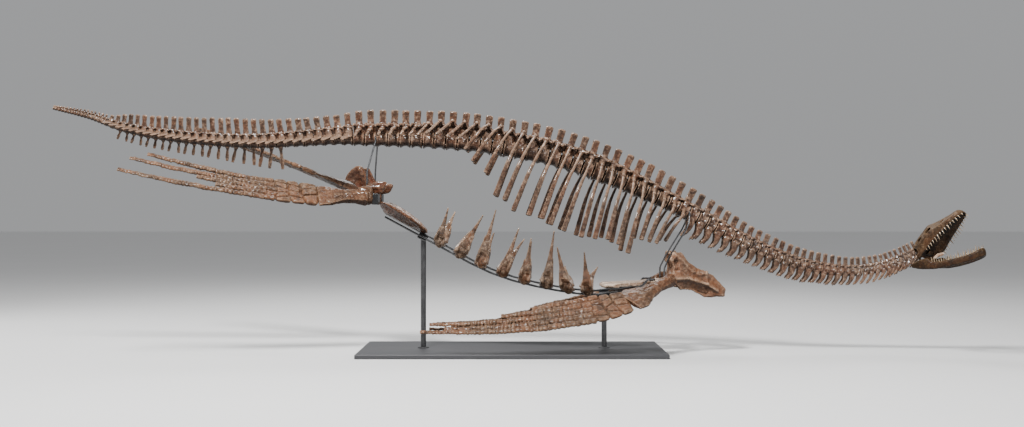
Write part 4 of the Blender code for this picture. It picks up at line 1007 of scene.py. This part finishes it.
def steelRod(name, points, radius, look, node):
    clay = Clay()
    points = np.array(points, float)
    path = [points[0]]
    for start, end in zip(points, points[1:]):  # short rounded bends between straight runs
        path += [start + (end - start) * t for t in (0.12, 0.5, 0.88, 1.0)]
    path = np.array(path)
    path[1:-1] = 0.25 * path[:-2] + 0.5 * path[1:-1] + 0.25 * path[2:]
    clay.rod(path, (radius,), (radius,), vec(0, 1, 0.001), 14, roundEnds=0.25)
    place(roundShading(clay.object(name), wholly=False), "steel_rod", look, node)


def railFrame(x):  # between the two rails: centre, along them, across from one to the other, up
    centre = vec(x, 0.0, table(rails["line"], 1, x) + rails["step"] / 2)
    along = unit(vec(0.04, 0.0, table(rails["line"], 1, x + 0.02) - table(rails["line"], 1, x - 0.02)))
    over = across(vec(0.0, 2 * rails["spread"], rails["step"]), along)
    return centre, along, over, np.cross(along, over)


seat = rails["radius"] * math.cos(math.atan2(rails["step"], 2 * rails["spread"])) + rails["gap"]
for hand, side in sideNames.items():
    lift = rails["step"] if side == "left" else 0.0
    route = [(x, hand * rails["spread"], z + lift) for x, z in rails["line"]]
    route += [(x, hand * y, z + lift * k) for (x, y, z), k in zip(rails["front"], rails["frontLift"])]
    steelRod(f"belly_rail_{side}_rod", route, rails["radius"], "rod", f"belly_rail_{side}")
    for word, route in (("chest", hangers["chest"]), ("pelvis", hangers["pelvis"][side])):
        top = backbone.point(borders("trunk")[hangers["behind"][word]])
        beside = hangers["beside"][word] + hangers["radius"] + hangers["gap"]
        points = [top + vec(0, hand * beside, 0.014), top + vec(0, hand * beside, -0.014)]
        points += [vec(x, hand * y, z) for x, y, z in route]
        steelRod(f"hanger_{word}_{side}_rod", points, hangers["radius"], "hanger", f"hanger_{word}_{side}")
print("rods done")


bellyRibs = {
    # x, x and z of the right tip, x and z of the left tip, half length at the middle
    "rows": (
        (-0.51, -0.437, 1.007, -0.406, 0.98, 0.05), (-0.37, -0.199, 0.956, -0.215, 0.94, 0.054),
        (-0.224, -0.11, 0.994, -0.128, 0.831, 0.05), (-0.073, 0.048, 0.87, 0.089, 0.788, 0.05),
        (0.082, 0.131, 0.797, 0.14, 0.77, 0.05), (0.236, 0.289, 0.849, 0.292, 0.645, 0.052),
        (0.382, 0.309, 0.739, 0.378, 0.595, 0.055), (0.521, 0.495, 0.705, 0.613, 0.588, 0.052),
    ),
    "reach": 0.19,
    "lift": 0.0026,
    "build": (0.0031, 3, ((0.03, 0.003),)),
}


def horn(clay, points, girths, thick, along):  # a thorn with a heavy foot
    clay.rod(smoothPath(points, 18), stretched(girths, 12), stretched(thick, 12), along, 14, square=0.9)


def makeBellyRow(i, x, rightX, rightZ, leftX, leftZ, half):
    # a nest of horns that rise from a heavy middle lying on the rails
    centre, along, over, up = railFrame(x)
    floor = centre + up * (seat + bellyRibs["lift"])
    clay = Clay()
    clay.rod([floor + over * d + up * h for d, h in
              ((-0.066, 0.02), (-0.035, 0.0145), (0.0, 0.0125), (0.035, 0.0145), (0.066, 0.02))],
             vec(0.62, 0.78, 0.7, 0.78, 0.62) * half, (0.0125,), along, 16, square=0.85)
    for hand, tipX, tipZ in ((-1, rightX, rightZ), (1, leftX, leftZ)):
        outward = over * hand
        edge = floor + outward * 0.052 + up * 0.016
        tip = vec(tipX, hand * bellyRibs["reach"], tipZ)
        reach = tip - edge
        belly = edge + reach * 0.3 + outward * 0.036 - up * 0.01
        horn(clay, [edge - outward * 0.03, edge, belly, edge + reach * 0.62 + outward * 0.012, tip],
             vec(0.74, 1.02, 0.92, 0.6, 0.35, 0.2, 0.09) * half,
             (0.014, 0.015, 0.013, 0.01, 0.008, 0.0064, 0.0048), along)
        lean = 1 if (i + (hand > 0)) % 2 else -1
        # two shorter horns, one on each side of the long one
        for offset, rise, swing, girth in ((0.52 * lean, 0.5, 0.02 * lean, 0.36),
                                           (-0.5 * lean, 0.27, -0.16 * lean, 0.4)):
            rise *= draw.uniform(0.9, 1.08)
            foot = edge + along * half * offset + outward * 0.006
            end = edge + reach * rise + along * half * (offset * 0.72 + swing) + outward * 0.016
            middle = foot + (end - foot) * 0.42 + outward * 0.036 - up * 0.006 + along * half * offset * 0.18
            horn(clay, [foot - outward * 0.034 - along * half * offset * 0.2, foot, middle, end],
                 vec(0.9, 1.0, 0.88, 0.52, 0.2) * girth * half, (0.014, 0.0155, 0.013, 0.01, 0.0052), along)
        clay.blob(edge + reach * 0.1 + outward * 0.024, along * half * 0.74, outward * 0.024,
                  unit(reach) * half * 1.25, 18, 11)
    bones(clay, f"gastralia_{i + 1}_bones", bellyRibs["build"], "belly_bone", "bellyBone", f"gastralia_{i + 1}")


for i, row in enumerate(bellyRibs["rows"]):
    makeBellyRow(i, *row)
print("belly done")


stand = {
    "thick": 0.03, "edge": 0.006, "hipEdge": 0.003, "postRadius": 0.019, "postX": {"rear": -0.62, "front": 0.645},
    "saddleHalf": (0.034, 0.062), "saddleThick": 0.008, "saddleEdge": 0.0012, "gap": 0.0003,
    # height and size of the foot ring's outline, over the post's own
    "collar": ((0.0, 2.1), (0.005, 2.1), (0.007, 2.0), (0.007, 0.9)),
}


def weighted(made, name):
    modify(made, "WEIGHTED_NORMAL", keep_sharp=True)
    return bake(made, name)


def bevelled(name, node, edge, segments):  # a block with rounded edges that fills a node's box
    low, high = (np.array(corner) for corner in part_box(node))
    bm = bmesh.new()
    bmesh.ops.create_cube(bm, size=1.0)
    for vert in bm.verts:
        vert.co = Vector((low + high) / 2 + np.array(vert.co) * (high - low))
    bmesh.ops.bevel(bm, geom=bm.edges[:], offset=edge, segments=segments, affect="EDGES", profile=0.5)
    return weighted(roundShading(addObject(name, bpy.data.meshes.new(name), bm)), name)


for side in ("left", "right"):
    place(bevelled(f"hip_block_{side}_steel", f"hip_block_{side}", stand["hipEdge"], 3),
          "hip_steel", "hip", f"hip_block_{side}")
place(bevelled("stand_base_board", "stand_base", stand["edge"], 4), "stand_paint", "board", "stand_base")

for word, x in stand["postX"].items():
    centre, along, over, up = railFrame(x)
    thick, rim = stand["saddleThick"], stand["saddleEdge"]
    under = centre - up * (seat + thick)
    foot = stand["thick"] + stand["gap"]
    outline = ring(vec(0, 0), vec(stand["postRadius"], 0), vec(0, stand["postRadius"]), 32)

    def level(rise, grow=1.0):
        return [vec(x + a * grow, b * grow, foot + rise) for a, b in outline]

    clay = Clay()
    slanted = [vec(x + a, b, (up @ under - up[0] * (x + a) - up[1] * b) / up[2] + 0.002) for a, b in outline]
    clay.loft([level(0.0), level(0.25), slanted])
    clay.loft([level(rise, grow) for rise, grow in stand["collar"]])
    plate = ring(vec(0, 0, 0), along * stand["saddleHalf"][0], over * stand["saddleHalf"][1], 32, 0.35)
    clay.loft([under + plate * k + up * h for k, h in ((0.97, 0.0), (1.0, rim), (1.0, thick - rim), (0.97, thick))])
    piece = roundShading(clay.object(f"stand_post_{word}_steel"), wholly=False)
    place(weighted(piece, piece.name), "stand_paint", "rod", f"stand_post_{word}")
print("stand done")


studio = {
    "camera": (0.0, -9.0, 0.9695), "lens": 45.2, "floorHalf": 60,
    "lights": (
        # place, aim, size, watts
        ((-1.8, -4.3, 6.6), (0.2, 0.0, 0.9), 1.3, 1080), ((5.4, -5.6, 3.4), (0.8, 0.0, 0.8), 2.0, 190),
        ((0.0, 4.0, 6.5), (0.0, 0.0, 1.0), 4.0, 320), ((-6.0, 1.5, 2.6), (-1.0, 0.0, 1.0), 2.2, 110),
    ),
    "horizon": (0.36, 0.364, 0.37), "zenith": (0.4, 0.406, 0.418),
}
floorMesh = bpy.data.meshes.new("floor")
floorMesh.from_pydata([(x * studio["floorHalf"], y * studio["floorHalf"], 0)
                       for x, y in ((-1, -1), (1, -1), (1, 1), (-1, 1))], [], [(0, 1, 2, 3)])
floorMesh.materials.append(finishes["floor"])
floor = addObject("floor", floorMesh)

for i, (spot, aim, size, watts) in enumerate(studio["lights"]):
    lamp = bpy.data.lights.new(f"softbox{i}", "AREA")
    lamp.size, lamp.energy = size, watts
    holder = addObject(f"softbox{i}", lamp)
    holder.location = spot
    holder.rotation_euler = (Vector(aim) - Vector(spot)).to_track_quat("-Z", "Y").to_euler()

world = bpy.data.worlds.new("studio")
world.use_nodes = True
sky = Paint("sky", tree=world.node_tree)
shade = sky.blend(sky.span(sky.vertical(sky.space), -0.02, 0.45), studio["horizon"], studio["zenith"])
world.node_tree.links.new(shade.socket, world.node_tree.nodes["Background"].inputs["Color"])
bpy.context.scene.world = world

lens = bpy.data.cameras.new("camera")
lens.lens = studio["lens"]
lens.sensor_width = 36.0
camera = addObject("camera", lens)
camera.location = studio["camera"]
camera.rotation_euler = (math.radians(90), 0, 0)
bpy.context.scene.camera = camera

triangles = sum(sum(len(p.vertices) - 2 for p in o.data.polygons) for o in bpy.data.objects
                if o.type == "MESH" and not o.hide_render)
print("triangles:", triangles)
